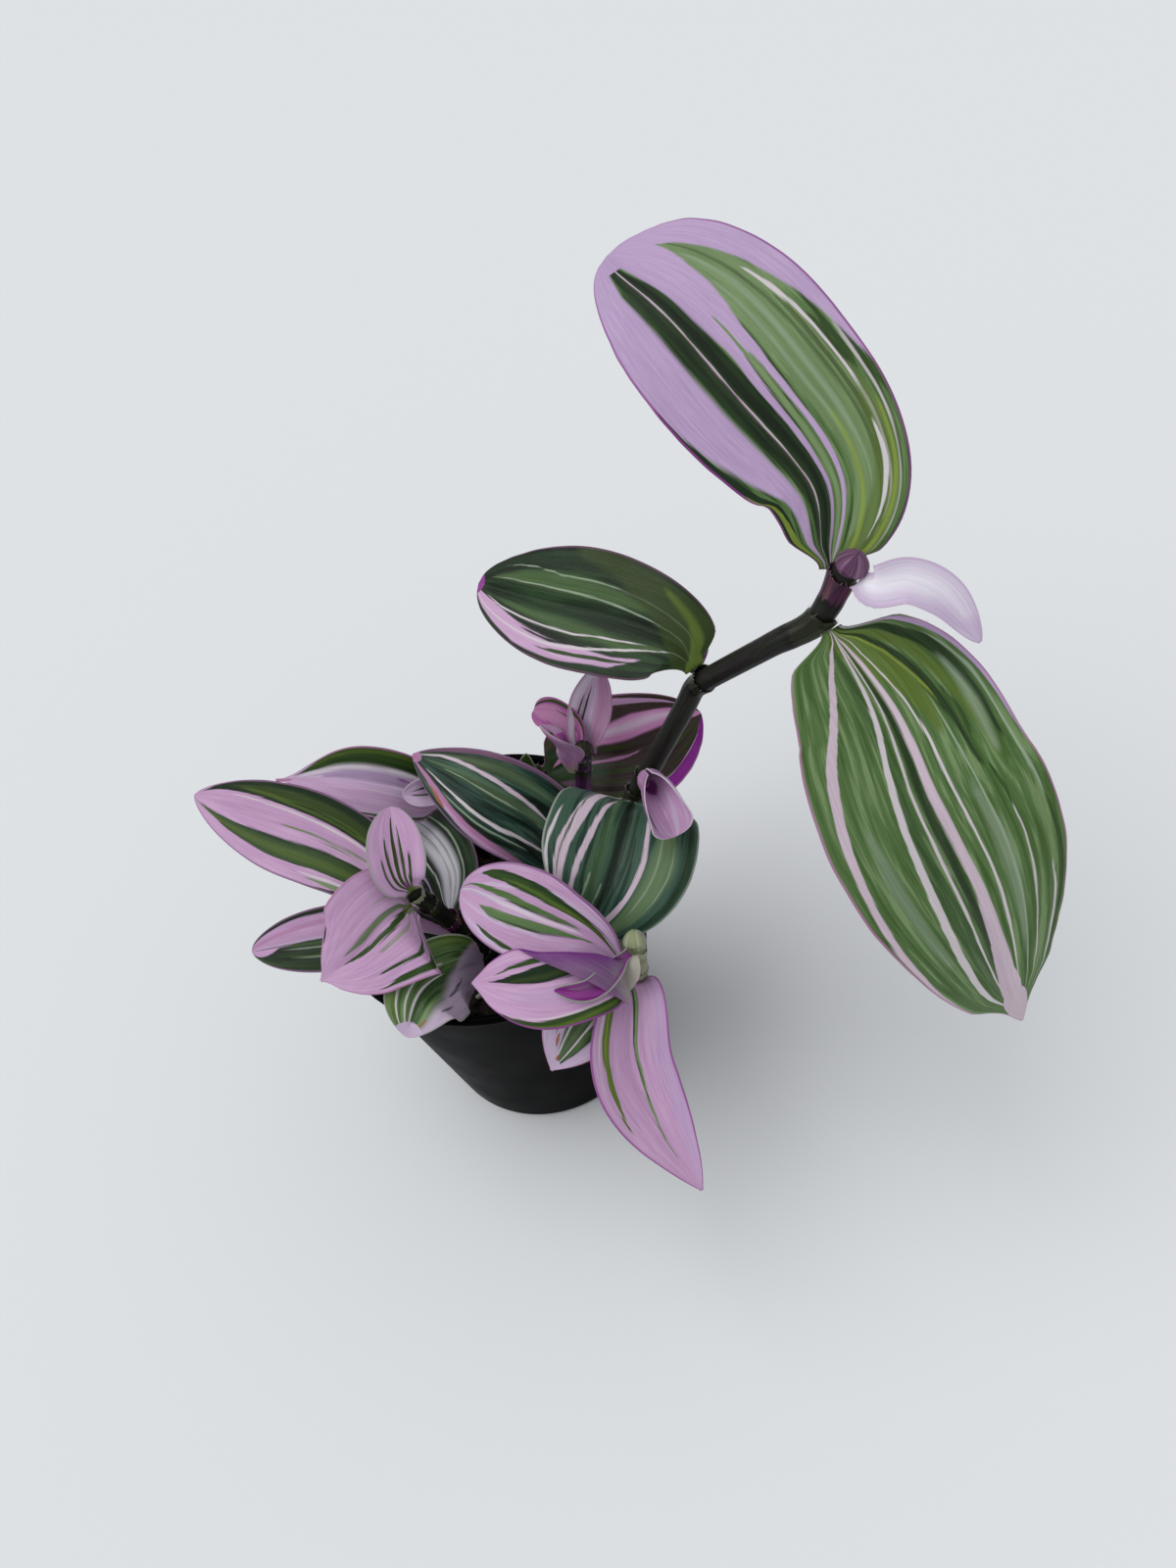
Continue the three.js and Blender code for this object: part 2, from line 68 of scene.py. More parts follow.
def newMaterial(name):
    material = bpy.data.materials.new(name)
    material.use_nodes = True
    material.node_tree.nodes.clear()
    return material, material.node_tree


# Noise drawn out along a leaf or a shoot; scale counts its repeats across and along
def drawnNoise(tree, uv, scale, detail, roughness=0.5, start=(0, 0, 0)):
    place = addNode(tree, "Mapping", {"Vector": uv, "Location": start, "Scale": (*scale, 1)})
    return addNode(tree, "TexNoise", {"Vector": place, "Scale": 1, "Detail": detail, "Roughness": roughness})


# Lays a colour over another where a pattern goes from one level to another, up to a strength
def tint(tree, base, colour, pattern, low, high, strength=1.0):
    cover = addNode(tree, "MapRange", {0: pattern, 1: low, 2: high, 4: strength})
    return addNode(tree, "Mix", {0: cover, 6: base, 7: colour}, data_type="RGBA")


# Gives a colour ramp a stop at each position
def setStops(ramp, positions, colours):
    stops = ramp.color_ramp.elements
    while len(stops) < len(positions):
        stops.new(0.5)
    for stop, position in zip(stops, positions):
        stop.position = position
    for stop, colour in zip(stops, colours):
        stop.color = colour


def ease(x, low, high):
    t = np.clip((x - low) / (high - low), 0, 1)
    return t * t * (3 - 2 * t)


def unit(v):
    return v / np.linalg.norm(v, axis=-1, keepdims=True)


def turnAngles(sides):
    return np.linspace(0, 2 * np.pi, sides, endpoint=False)


# A smooth curve through points, sampled finely, with its running length
def curveThrough(points, steps=120):
    p = np.array(points, float)
    p = np.vstack([2 * p[0] - p[1], p, 2 * p[-1] - p[-2]])
    samples = []
    for i in range(1, len(p) - 2):
        p0, p1, p2, p3 = p[i - 1:i + 3]
        d0, d1, d2 = (np.linalg.norm(b - a) ** 0.5 for a, b in ((p0, p1), (p1, p2), (p2, p3)))
        m1 = ((p1 - p0) / d0 - (p2 - p0) / (d0 + d1) + (p2 - p1) / d1) * d1
        m2 = ((p2 - p1) / d1 - (p3 - p1) / (d1 + d2) + (p3 - p2) / d2) * d1
        t = np.linspace(0, 1, steps, endpoint=False)[:, None]
        bent = (3 * (p2 - p1) - 2 * m1 - m2) * t ** 2 + (2 * (p1 - p2) + m1 + m2) * t ** 3
        samples.append(p1 + m1 * t + bent)
    samples = np.vstack(samples + [p[-2:-1]])
    spans = np.linalg.norm(np.diff(samples, axis=0), axis=1)
    lengths = np.concatenate([[0], np.cumsum(spans)])
    tangents = unit(np.gradient(samples, lengths, axis=0))
    return {"points": samples, "lengths": lengths, "tangents": tangents, "length": lengths[-1]}


# Points and directions at distances along a curve, going straight on past its ends
def curveAt(curve, distance):
    d = np.atleast_1d(np.asarray(distance, float))
    inside = np.clip(d, 0, curve["length"])
    point, along = (np.stack([np.interp(inside, curve["lengths"], curve[key][:, k]) for k in range(3)], -1)
                    for key in ("points", "tangents"))
    along = unit(along)
    return point + along * (d - inside)[:, None], along


# The two directions square to a curve, level where they can be
def squareTo(along):
    side = unit(np.cross(along, [0, 1, 0]))
    return side, np.cross(side, along)


# Repeatable smooth noise from a few sines, about -1 to 1
def waver(x, seed, octaves=3):
    total = 0
    for k in range(octaves):
        drift = 1.1 * np.sin(x * 0.37 + seed + k)
        total = total + np.sin(x * (1.7 ** k) + seed * (k + 1.3) + drift) / (k + 1)
    return total / 1.6


# Mesh building: points in mm, gathered one by one and turned into one object
def newSkin():
    return {"points": [], "faces": [], "slots": [], "uvs": []}


# The (across, along) pairs of a grid
def spread(across, along):
    return np.stack(np.broadcast_arrays(across, along), -1)


# A grid of points with a (across, along) pair for each; closed joins its last column to the first, and capped
# closes its two ends
def addGrid(skin, points, uvs, slots, closed=False, capped=None):
    rows, columns = points.shape[:2]
    start = len(skin["points"])
    skin["points"].extend(points.reshape(-1, 3).tolist())
    skin["uvs"].extend(uvs.reshape(-1, 2).tolist())
    for i in range(rows - 1):
        for j in range(columns if closed else columns - 1):
            p, q = start + i * columns + j, start + i * columns + (j + 1) % columns
            skin["faces"].append((p, q, q + columns, p + columns))
            skin["slots"].append(slots[j] if isinstance(slots, list) else slots)
    if capped is not None:
        addCap(skin, range(start, start + columns), capped, flip=True)
        addCap(skin, range(start + (rows - 1) * columns, start + rows * columns), capped)
    return start


def addCap(skin, ring, slot, flip=False):
    skin["faces"].append(tuple(reversed(ring)) if flip else tuple(ring))
    skin["slots"].append(slot)


def meshOf(name, skin):
    mesh = bpy.data.meshes.new(name)
    mesh.from_pydata([tuple(c * mm for c in p) for p in skin["points"]], [], skin["faces"])
    return mesh


def addPiece(name, data):
    piece = bpy.data.objects.new(name, data)
    bpy.context.scene.collection.objects.link(piece)
    return piece


def buildObject(name, skin, materials, node):
    mesh = meshOf(name, skin)
    for material in materials:
        mesh.materials.append(material)
    mesh.polygons.foreach_set("material_index", [int(s) for s in skin["slots"]])
    mesh.polygons.foreach_set("use_smooth", [True] * len(mesh.polygons))
    layer = mesh.uv_layers.new(name="skin")
    corners = np.empty(len(mesh.loops), int)
    mesh.loops.foreach_get("vertex_index", corners)
    layer.data.foreach_set("uv", np.array(skin["uvs"])[corners].astype(np.float32).ravel())
    mesh.update()
    piece = addPiece(name, mesh)
    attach(piece, "root")
    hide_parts(node)
    return piece


# The shoots: paths in mm from the buried end to the tip, with the radius at both ends
stems = {
    "main_stem": {
        "path": [[15, -14, 50], [21, -12, 72], [43, -11, 105], [61, -11, 131], [63.5, -11, 135],
                 [65, -13, 138], [77, -28, 157], [86, -32, 163], [93, -32, 173], [94, -33, 176]],
        "radius": [2.6, 2.9], "skin": "darkStem",
    },
    "front_stem": {
        "path": [[20, -25, 50], [24, -28, 72], [25.5, -30, 83], [26, -36, 89.5], [25.5, -44, 92],
                 [24.6, -51, 93.5], [24.3, -54.5, 96.5], [25, -54, 101], [26.3, -51.5, 106.5]],
        "radius": [2.6, 2.1], "skin": "paleStem",
    },
    # The left shoot wears the dark stem skin as painted shade: low among the leaves it stands in deep shade
    "left_stem": {
        "path": [[-6, -16, 50], [-8, -17, 72], [-14, -14, 92], [-19.5, -13.2, 109], [-20.3, -12.9, 113]],
        "radius": [2.6, 2.0], "skin": "darkStem",
    },
    "rear_left_stem": {
        "path": [[2, 14, 50], [2, 18, 72], [-1, 26, 95], [-4, 27, 101]],
        "radius": [2.5, 2.0], "skin": "darkStem",
    },
    "small_stem": {
        "path": [[32, -4, 52], [32.5, -1, 72], [33, 4, 99], [35, 6, 105], [36, 7.5, 108]],
        "radius": [2.5, 2.0], "skin": "purpleStem",
    },
    "back_stem": {
        "path": [[22, 24, 52], [23, 26, 72], [24, 27, 87]],
        "radius": [2.5, 2.1], "skin": "darkStem",
    },
}

# How a leaf sits on its shoot and how tightly it may roll or crease, in mm, as in the solids
fit = {"gap": 0.3, "sheathWall": 1.2, "rootDepth": 1.5, "opening": 5, "neck": 2.6, "tightest": 1.2,
       "closedRoll": 3, "tip": 0.35, "creaseWidth": 0.15, "tightestCrease": 0.9}

# Colours of the living skin, as the eye sees them in soft daylight
tones = {
    "ink": "#0c180a", "pine": "#172b12", "spruce": "#23401f", "moss": "#2c4617", "sage": "#557240",
    "greyGreen": "#778f60", "mist": "#97a88f", "olive": "#35461a", "fern": "#5b7028", "lime": "#8b9f3f",
    "shade": "#2e2620", "bark": "#433233", "pale": "#d6cdd0", "white": "#e0dade", "snow": "#f3f0f6",
    "lavender": "#bca1c6", "lilac": "#cab3ce", "blush": "#d0bdc9", "pink": "#c39bc0", "rose": "#b0799f",
    "dusk": "#8b6488", "fuchsia": "#a04b93", "magenta": "#8f3f8d", "violet": "#741a72", "orchid": "#8a2390",
    "teal": "#3d5949", "deepTeal": "#1f3a30", "leek": "#46632f", "petal": "#caa5c6", "blossom": "#da94c8",
    "rust": "#9a5c38", "plum": "#6d4a63", "hem": "#9aa094",
}

# The leaves. sheath: where it clasps the shoot, as distances along it. path: the midrib after the sheath's
# mouth. facing: where the upper face looks at base and tip, if not to the viewer. outline: width, where it
# is widest, how blunt the base and the tip are, and how much the tip narrows to a point. wider: what the
# base adds to the left and the right half. curl: degrees that a half bends up near the base and the tip, or
# such a pair for the left and one for the right. wave: the margin's ripple in mm, its count and start. fold:
# where a crease runs across the right half near the base and the tip, and the degrees it turns. cap: its
# sheath closes over the shoot's end. joins: the node it belongs to. ground: its dark, middle and light tone.
# bands: tone, then points in percent (along, across from the midrib, half width), then how strong it is and
# how soft its edge.
toViewer = [-0.1, -0.65, 0.76]
leaves = {
    "leaf_main_crown": {
        "stem": "main_stem", "sheath": [147, 153.8], "sheathSkin": "plumSheath",
        "path": [[98, -18, 185], [92, 4, 201], [85, 27, 212], [77, 45, 216]],
        "facing": [[-0.2, -0.7, 0.7], [-0.1, -0.5, 0.85]],
        "outline": [44, 0.56, 0.34, 0.5], "curl": [25, 12], "wave": [0.8, 1.5, 0],
        "ground": ["moss", "sage", "greyGreen"], "edge": "magenta",
        "bands": [
            ("greyGreen", [(6, 50, 20), (30, 50, 24), (90, 48, 22), (100, 40, 20)], 0.8, 3),
            ("mist", [(15, 50, 0), (30, 46, 3), (70, 48, 3), (85, 46, 0)], 0.5, 2),
            ("mist", [(20, 36, 0), (40, 34, 2), (65, 36, 1.5), (75, 36, 0)], 0.5, 2),
            ("moss", [(10, 62, 2), (50, 60, 2.5), (80, 56, 1.5), (90, 56, 0)], 0.6, 2),
            ("pine", [(2, -20, 10), (20, -25, 20), (50, -26, 21), (85, -28, 20), (97, -30, 10)], 0.9, 4),
            ("ink", [(10, -16, 2), (40, -18, 5), (95, -19, 4)], 0.8, 3),
            ("ink", [(10, -34, 2), (40, -37, 3), (90, -36, 3)], 0.6, 3),
            ("lavender", [(0, -50, 6), (12, -57, 10), (30, -67, 17), (50, -74, 25), (70, -78, 28),
                          (88, -80, 28), (100, -75, 35)], 1, 4),
            ("pine", [(8, -88, 10), (25, -96, 8), (45, -100, 5), (58, -100, 0)]),
            ("lime", [(0, -80, 10), (12, -90, 4), (20, -98, 2), (30, -100, 0)], 0.7),
            ("plum", [(2, -27, 1), (30, -28, 1.3), (90, -27, 1.6), (98, -25, 0)], 0.9),
            ("pale", [(20, -27, 0.4), (60, -27, 0.8), (97, -26, 1.2)], 0.8),
            ("lavender", [(2, -6, 2), (25, -6, 3), (50, -1, 4.5), (60, 2, 6)]),
            ("lavender", [(2, 8, 2), (25, 13, 2.8), (50, 16, 3.5), (60, 17, 5), (66, 17, 0)]),
            ("lavender", [(54, 10, 0), (60, 8, 13), (70, 11, 19), (80, 15, 22), (95, 25, 35)], 1, 2),
            ("greyGreen", [(4, 2, 2), (30, 4, 3), (50, 8, 2.5), (62, 9, 1.5), (68, 9, 0)]),
            # Painted highlight: this thin pale line along the right half is a white glint line, light caught
            # on the leaf
            ("pale", [(8, 70, 0), (16, 75, 1.4), (50, 74, 1.3), (64, 68, 2.4), (72, 64, 0)]),
            ("pale", [(5, 86, 1), (30, 89, 1.6), (50, 90, 1), (56, 90, 0)], 0.8),
            ("olive", [(10, 66, 3), (30, 68, 3), (55, 66, 2), (62, 64, 0)], 0.7),
            ("lavender", [(34, 100, 0), (42, 98, 4), (55, 95, 9), (65, 92, 15), (75, 90, 20),
                          (86, 88, 28), (95, 85, 40), (100, 70, 50)], 1, 2),
            ("fern", [(0, 50, 50), (10, 62, 25), (20, 72, 16), (36, 78, 0)], 0.6, 6),
            ("lime", [(0, 40, 10), (8, 40, 4), (20, 36, 2), (34, 36, 0)], 0.8, 3),
            ("lime", [(0, 70, 10), (8, 76, 4), (20, 82, 2), (30, 84, 0)], 0.8, 3),
            # Painted highlight: white glints near the base of the right half
            ("white", [(7, 60, 0), (12, 64, 2), (20, 70, 3.5), (27, 70, 0)], 0.9),
            ("lavender", [(94, 0, 0), (98, 0, 150), (100, 0, 200)], 1, 4),
        ],
    },
    "leaf_main_hanging": {
        "stem": "main_stem", "sheath": [135, 144],
        "path": [[90, -55, 153], [89, -72, 143], [92.5, -88, 124], [97, -103, 93]],
        "facing": [[0.1, -0.5, 0.85], [0.1, -0.8, 0.6]],
        "outline": [52, 0.45, 0.4, 0.7, 0.5], "curl": [20, 10], "wave": [0.8, 1.5, 1],
        "ground": ["leek", "sage", "greyGreen"], "edge": "rose",
        "bands": [
            ("fern", [(0, 0, 50), (8, -15, 20), (20, -32, 10), (30, -36, 0)], 0.8, 4),
            ("fern", [(1, -40, 10), (10, -58, 8), (30, -70, 3), (40, -72, 0)], 0.8, 4),
            ("pine", [(2, -30, 5), (12, -42, 6), (30, -52, 3), (40, -55, 0)], 0.85, 3),
            ("pine", [(2, -60, 10), (12, -78, 8), (26, -82, 3), (34, -82, 0)], 0.85, 3),
            ("lime", [(1, -20, 2), (10, -36, 2), (24, -46, 0)], 0.8, 2),
            ("lime", [(1, 5, 2), (6, 0, 1.4), (20, -2, 0)], 0.8, 2),
            ("mist", [(15, -75, 0), (25, -74, 5), (38, -72, 0)], 0.6, 6),
            ("mist", [(40, 62, 0), (50, 62, 6), (66, 64, 5), (75, 64, 0)], 0.5, 6),
            ("mist", [(40, -40, 0), (60, -42, 7), (85, -40, 0)], 0.5, 6),
            ("pine", [(12, -1, 1), (30, 0, 3.5), (50, 3, 5), (70, 7, 5), (86, 10, 6), (95, 10, 0)], 0.85, 3),
            ("spruce", [(30, 20, 5), (60, 28, 8), (85, 30, 10), (95, 25, 0)], 0.5, 6),
            ("blush", [(3, 18, 3), (10, 42, 4.5), (20, 62, 5), (30, 74, 5), (40, 82, 4.5),
                       (50, 88, 3.5), (65, 95, 3), (85, 100, 2)]),
            ("pale", [(2, 3, 1.5), (10, 8, 2), (30, 22, 3.2), (50, 34, 3.6), (70, 46, 4.8),
                      (85, 54, 5.5), (94, 50, 3), (98, 40, 0)]),
            ("pale", [(3, 0, 1), (20, 5, 1.3), (35, 10, 1.4), (50, 13, 1.6), (70, 18, 1.7),
                      (86, 23, 1.5), (94, 20, 0)]),
            ("blush", [(2, -4, 1.5), (10, -6, 2), (30, -7, 3.5), (50, -7, 3.8), (65, -7, 5),
                       (76, -4, 9), (85, 0, 17), (91, 2, 30), (96, 0, 90), (100, 0, 200)], 1, 1.5),
            ("pale", [(8, -14, 0.6), (30, -23, 1.3), (60, -25, 1.4), (80, -24, 1.5), (93, -20, 0)]),
            ("mist", [(20, -40, 0), (40, -45, 1), (80, -45, 1.2), (93, -40, 0)]),
            ("pale", [(50, -62, 0), (58, -63, 1), (85, -60, 1), (93, -55, 0)]),
            ("pale", [(66, -83, 0), (72, -86, 2), (85, -86, 1.8), (95, -80, 0)]),
            ("mist", [(10, -86, 0), (20, -90, 1.4), (45, -90, 1.4), (55, -90, 0)]),
            ("lavender", [(2, -85, 5), (10, -97, 5), (25, -100, 3), (40, -100, 0)]),
            ("moss", [(20, -55, 0), (26, -58, 3), (32, -58, 0)], 0.8),
            ("moss", [(38, -60, 0), (46, -62, 1.8), (52, -62, 0)], 0.8),
            ("pine", [(50, -90, 0), (70, -94, 3), (95, -90, 0)], 0.6, 2),
        ],
    },
    "leaf_main_young": {
        "stem": "main_stem", "sheath": [156, 157.2], "sheathSkin": "lilacSheath", "cap": True,
        "path": [[95, -40, 174], [101, -43, 175], [106.5, -48, 172], [110.5, -56, 164]],
        "outline": [10, 0.42, 0.25, 0.6], "curl": [40, 25],
        "ground": ["snow", "snow", "snow"], "edge": "lilac", "under": "Young leaf underside",
        "bands": [
            ("lavender", [(5, 100, 12), (50, 100, 30), (80, 60, 70), (90, 0, 140), (100, 0, 200)], 0.75, 30),
            ("lavender", [(5, -100, 10), (60, -100, 25), (90, -100, 40)], 0.6, 20),
        ],
    },
    "leaf_main_side": {
        "stem": "main_stem", "sheath": [101, 105],
        "path": [[63, -5, 145], [52, 9, 148], [40, 23, 148], [27, 41, 147]],
        "outline": [31, 0.48, 0.4, 0.5], "curl": [15, 8], "wave": [0.5, 1.5, 2],
        "bud": [[64.5, -8.5, 138], [66.5, -8, 140.5], [69.5, -7.5, 143.5]],
        "ground": ["ink", "pine", "spruce"], "edge": "plum",
        "bands": [
            ("pine", [(10, -10, 4), (40, -10, 6), (90, -10, 4)], 0.7, 3),
            ("pine", [(10, 60, 10), (40, 70, 14), (80, 80, 10)], 0.8, 6),
            ("sage", [(20, 30, 0), (50, 35, 16), (80, 40, 14), (95, 40, 0)], 0.6, 6),
            ("sage", [(10, -30, 0), (30, -40, 10), (60, -30, 10), (90, -25, 0)], 0.6, 6),
            ("petal", [(20, -60, 0), (32, -74, 9), (55, -75, 14), (75, -74, 20), (95, -60, 24)], 1, 1.5),
            ("moss", [(22, -68, 0), (32, -72, 3), (55, -78, 3.5), (66, -80, 0)]),
            ("pine", [(50, -60, 0), (60, -62, 2.5), (74, -60, 0)]),
            ("pale", [(6, -20, 1), (15, -35, 1.8), (40, -60, 2.4), (62, -70, 2)]),
            ("pale", [(20, -30, 0), (50, -42, 1.4), (85, -42, 2.2), (95, -30, 0)]),
            ("mist", [(6, 5, 1), (10, 10, 1.2), (35, 20, 1.4), (60, 25, 1.4), (80, 30, 1.2), (95, 40, 0)]),
            ("mist", [(5, 20, 0.8), (10, 35, 1), (30, 45, 1.2), (62, 50, 1.2), (75, 62, 1), (90, 75, 0)]),
            ("olive", [(0, 0, 200), (6, 20, 80), (20, 50, 40), (40, 80, 20), (60, 95, 0)], 0.8, 8),
            ("fern", [(0, 0, 120), (4, 30, 30), (12, 60, 10), (24, 80, 0)], 0.8, 6),
            ("magenta", [(97, 0, 0), (99, 0, 100), (100, 0, 200)], 1, 3),
        ],
    },
    "leaf_main_round": {
        "stem": "main_stem", "sheath": [61, 65],
        "path": [[37, -23, 113], [27, -35, 109], [16, -41, 98]],
        "facing": [[-0.1, -0.5, 0.85], [-0.2, -0.7, 0.65]],
        "outline": [38, 0.45, 0.27, 0.6], "curl": [10, 15], "wave": [0.4, 1, 0],
        "ground": ["deepTeal", "teal", "teal"], "edge": "hem",
        "bands": [
            ("greyGreen", [(10, -60, 4), (50, -60, 16), (90, -50, 14)], 0.6, 8),
            ("sage", [(20, 20, 4), (50, 22, 10), (90, 30, 10)], 0.4, 8),
            ("ink", [(5, 0, 8), (50, 0, 7), (90, 5, 5)], 0.85, 4),
            ("pine", [(15, -14, 0), (50, -14, 2.5), (80, -10, 0)], 0.8, 3),
            ("pine", [(10, -88, 5), (50, -92, 6), (90, -88, 5)], 0.8, 4),
            ("pine", [(20, 32, 2), (50, 36, 2.5), (75, 45, 0)], 0.8, 2),
            ("mist", [(30, -52, 0), (50, -54, 1.2), (80, -50, 0)], 0.7),
            ("mist", [(35, -70, 0), (55, -72, 1), (85, -66, 0)], 0.7),
            ("mist", [(62, 30, 0), (70, 33, 1.8), (84, 42, 0)], 0.8),
            ("mist", [(66, 10, 0), (72, 12, 1.4), (84, 18, 0)], 0.7),
            ("blush", [(3, -20, 1.2), (15, -29, 2.2), (50, -35, 3), (70, -33, 4.2), (85, -25, 7),
                       (97, 5, 6)]),
            ("blush", [(3, 35, 5), (10, 50, 7), (30, 60, 9), (50, 72, 8.5), (70, 80, 8), (88, 85, 6)]),
            ("spruce", [(10, 56, 1), (30, 66, 1.4), (60, 78, 1.2), (75, 84, 0)], 0.8),
            ("blush", [(12, 22, 0), (25, 33, 3.5), (50, 45, 4.5), (80, 62, 4), (90, 70, 0)]),
            ("pale", [(30, 88, 0), (45, 92, 2), (60, 96, 2)]),
        ],
    },
    "leaf_main_curl": {
        "stem": "main_stem", "sheath": [69, 70.5],
        "path": [[45.5, -24, 118.5], [45, -30.5, 119.8], [45, -36, 116]],
        "facing": [[0, 0.53, 0.85], [-0.1, -0.65, 0.76]],
        "outline": [22, 0.6, 0.5, 0.45], "curl": [310, 60],
        "ground": ["pink", "pink", "lilac"], "edge": "white", "under": "Pink leaf underside",
        "bands": [
            ("magenta", [(0, 0, 90), (30, 10, 40), (50, 10, 0)], 1, 6),
            ("olive", [(50, 70, 0), (70, 70, 10), (90, 60, 0)], 0.8, 3),
        ],
    },
    "leaf_main_dark": {
        "stem": "main_stem", "sheath": [31, 34],
        "path": [[17, -5, 102], [8, 2, 112], [-6, 21, 118]],
        "facing": [[-0.1, -0.7, 0.7], toViewer],
        "outline": [25, 0.48, 0.5, 0.75], "curl": [15, 10], "wave": [0.4, 1, 0],
        "ground": ["ink", "deepTeal", "teal"], "edge": "dusk",
        "bands": [
            ("greyGreen", [(25, 10, 0), (50, 14, 12), (80, 20, 10), (95, 20, 0)], 0.35, 8),
            ("greyGreen", [(35, 60, 0), (60, 68, 12), (90, 60, 5)], 0.35, 8),
            ("ink", [(0, -10, 50), (20, -15, 20), (35, -15, 0)], 0.6, 8),
            ("rose", [(15, -95, 0), (30, -95, 8), (50, -88, 8), (70, -80, 9), (90, -60, 12)], 1, 1.5),
            ("pink", [(30, -98, 0), (50, -95, 5), (80, -80, 5), (90, -70, 0)], 0.8),
            ("pale", [(12, -28, 0), (30, -40, 3), (50, -48, 4.5), (65, -45, 4), (85, -35, 2), (92, -30, 0)]),
            ("mist", [(30, -58, 0), (45, -62, 1.5), (62, -62, 2), (80, -55, 0)]),
            ("blush", [(30, 20, 0), (50, 33, 4.5), (70, 46, 5), (88, 60, 6), (97, 50, 5)]),
            ("mist", [(30, 2, 0), (50, 6, 1.2), (75, 12, 1), (85, 12, 0)]),
            ("plum", [(10, 92, 2), (50, 95, 3), (95, 90, 10)]),
            ("rust", [(74, -86, 0), (80, -80, 7), (87, -72, 0)], 1, 2),
            ("rose", [(95, 0, 0), (98, 0, 100), (100, 0, 200)], 1, 3),
        ],
    },
    "leaf_front_left": {
        "stem": "front_stem", "sheath": [63.8, 65.5], "sheathSkin": "paleSheath",
        "path": [[16.5, -47, 107.5], [6.5, -37, 111], [-7.5, -22.5, 112]],
        "outline": [23, 0.62, 0.7, 0.5], "curl": [[15, 10], [45, 25]], "wave": [0.4, 1, 0],
        "ground": ["pink", "pink", "lilac"], "edge": "dusk",
        "bands": [
            ("moss", [(8, 25, 6), (30, 38, 10), (50, 48, 16), (70, 60, 17), (84, 74, 12), (90, 80, 0)]),
            ("pine", [(30, 48, 2), (60, 64, 3.5), (82, 80, 0)], 0.8, 2),
            ("fern", [(25, 34, 2), (50, 42, 5), (80, 62, 0)], 0.7, 2),
            ("sage", [(30, 6, 0), (45, 8, 5), (65, 14, 9), (85, 30, 8), (95, 45, 3)]),
            ("pine", [(40, 2, 0), (60, 4, 2), (80, 16, 0)], 0.7),
            ("sage", [(20, -13, 0), (40, -20, 7), (60, -26, 12), (80, -27, 12), (88, -22, 0)]),
            ("pine", [(30, -24, 0), (50, -33, 2.5), (80, -36, 0)], 0.8, 2),
            ("white", [(30, -4, 0), (50, -6, 4), (75, 0, 5), (95, 20, 3)], 0.6, 2),
            ("moss", [(58, -87, 0), (68, -84, 6), (80, -78, 6), (86, -72, 0)]),
            ("violet", [(0, 90, 6), (35, 97, 4), (60, 100, 2), (70, 100, 0)], 0.8, 2),
        ],
    },
    "leaf_front_rolled": {
        "stem": "front_stem", "sheath": [69, 71], "sheathSkin": "paleSheath",
        "path": [[14, -58, 110.5], [1, -55.5, 111], [-13, -46, 108]],
        "outline": [21, 0.5, 0.22, 0.75, 0.2], "curl": [[25, 15], [10, 10]], "wave": [0.3, 1, 0],
        "fold": [-0.05, 1.45, 170], "wider": [0, 0.5],
        "ground": ["pink", "pink", "petal"], "edge": "magenta", "under": "Rolled leaf underside",
        "bands": [
            ("pine", [(25, 24, 0), (40, 24, 20), (60, 22, 19), (75, 16, 12), (86, 10, 3), (90, 10, 0)]),
            ("olive", [(35, 18, 5), (60, 16, 6), (78, 10, 0)], 0.8, 3),
            ("moss", [(40, 52, 4), (60, 56, 6), (75, 50, 5), (86, 36, 0)]),
            ("moss", [(5, -70, 10), (20, -86, 14), (50, -90, 12), (70, -95, 8), (82, -98, 0)]),
            ("fern", [(10, -80, 4), (40, -92, 5), (70, -100, 0)], 0.7, 2),
            ("pale", [(10, -60, 1), (30, -72, 1.5), (60, -78, 1.5), (75, -84, 0)], 0.8),
            ("lavender", [(30, -30, 0), (50, -30, 15), (80, -30, 0)], 0.5, 8),
        ],
    },
    "leaf_front_new": {
        "stem": "front_stem", "sheath": [71.5, 73], "sheathSkin": "paleSheath", "cap": True,
        "path": [[10.8, -61.4, 110.2], [3.8, -59.4, 112.2]], "joins": "leaf_front_rolled",
        "outline": [7, 0.5, 0.6, 0.6], "curl": [80, 60],
        "ground": ["violet", "magenta", "magenta"], "edge": "mist", "under": "Pink leaf underside",
        "bands": [("dusk", [(10, 30, 30), (60, 30, 30), (90, 30, 0)], 0.8, 4)],
    },
    "leaf_front_hanging": {
        "stem": "front_stem", "sheath": [58.8, 61], "sheathSkin": "paleSheath",
        "path": [[20, -60.5, 96], [14, -72, 86], [18, -97, 65]],
        "outline": [21, 0.45, 0.45, 0.85], "curl": [45, 35], "wave": [0.5, 1, 0],
        "ground": ["pink", "pink", "petal"], "edge": "magenta",
        "bands": [
            ("lavender", [(10, -75, 10), (30, -80, 20), (70, -80, 25), (95, -60, 30)], 0.7, 8),
            ("greyGreen", [(0, -5, 3), (5, -8, 5), (20, -12, 5.5), (45, -16, 4.5), (60, -5, 3.5),
                           (75, 12, 2.5), (86, 20, 0)]),
            ("pine", [(3, 0, 3), (12, -3, 3), (30, -10, 1.5), (50, -13, 1.2), (60, -5, 0)], 0.9),
            ("fern", [(3, 40, 6), (12, 62, 11), (30, 64, 10), (42, 60, 8), (52, 64, 5), (66, 80, 0)]),
            ("lime", [(6, 50, 2), (20, 66, 2.5), (42, 62, 0)], 0.7),
            ("pale", [(10, 80, 2), (35, 80, 2), (50, 82, 0)], 0.8),
            ("fern", [(0, 0, 200), (3, 0, 30), (8, 0, 0)], 0.7, 3),
        ],
    },
    "leaf_front_under": {
        "stem": "front_stem", "sheath": [44, 46.5],
        "path": [[14, -50, 87.5], [4, -57, 86], [-4, -59, 78]],
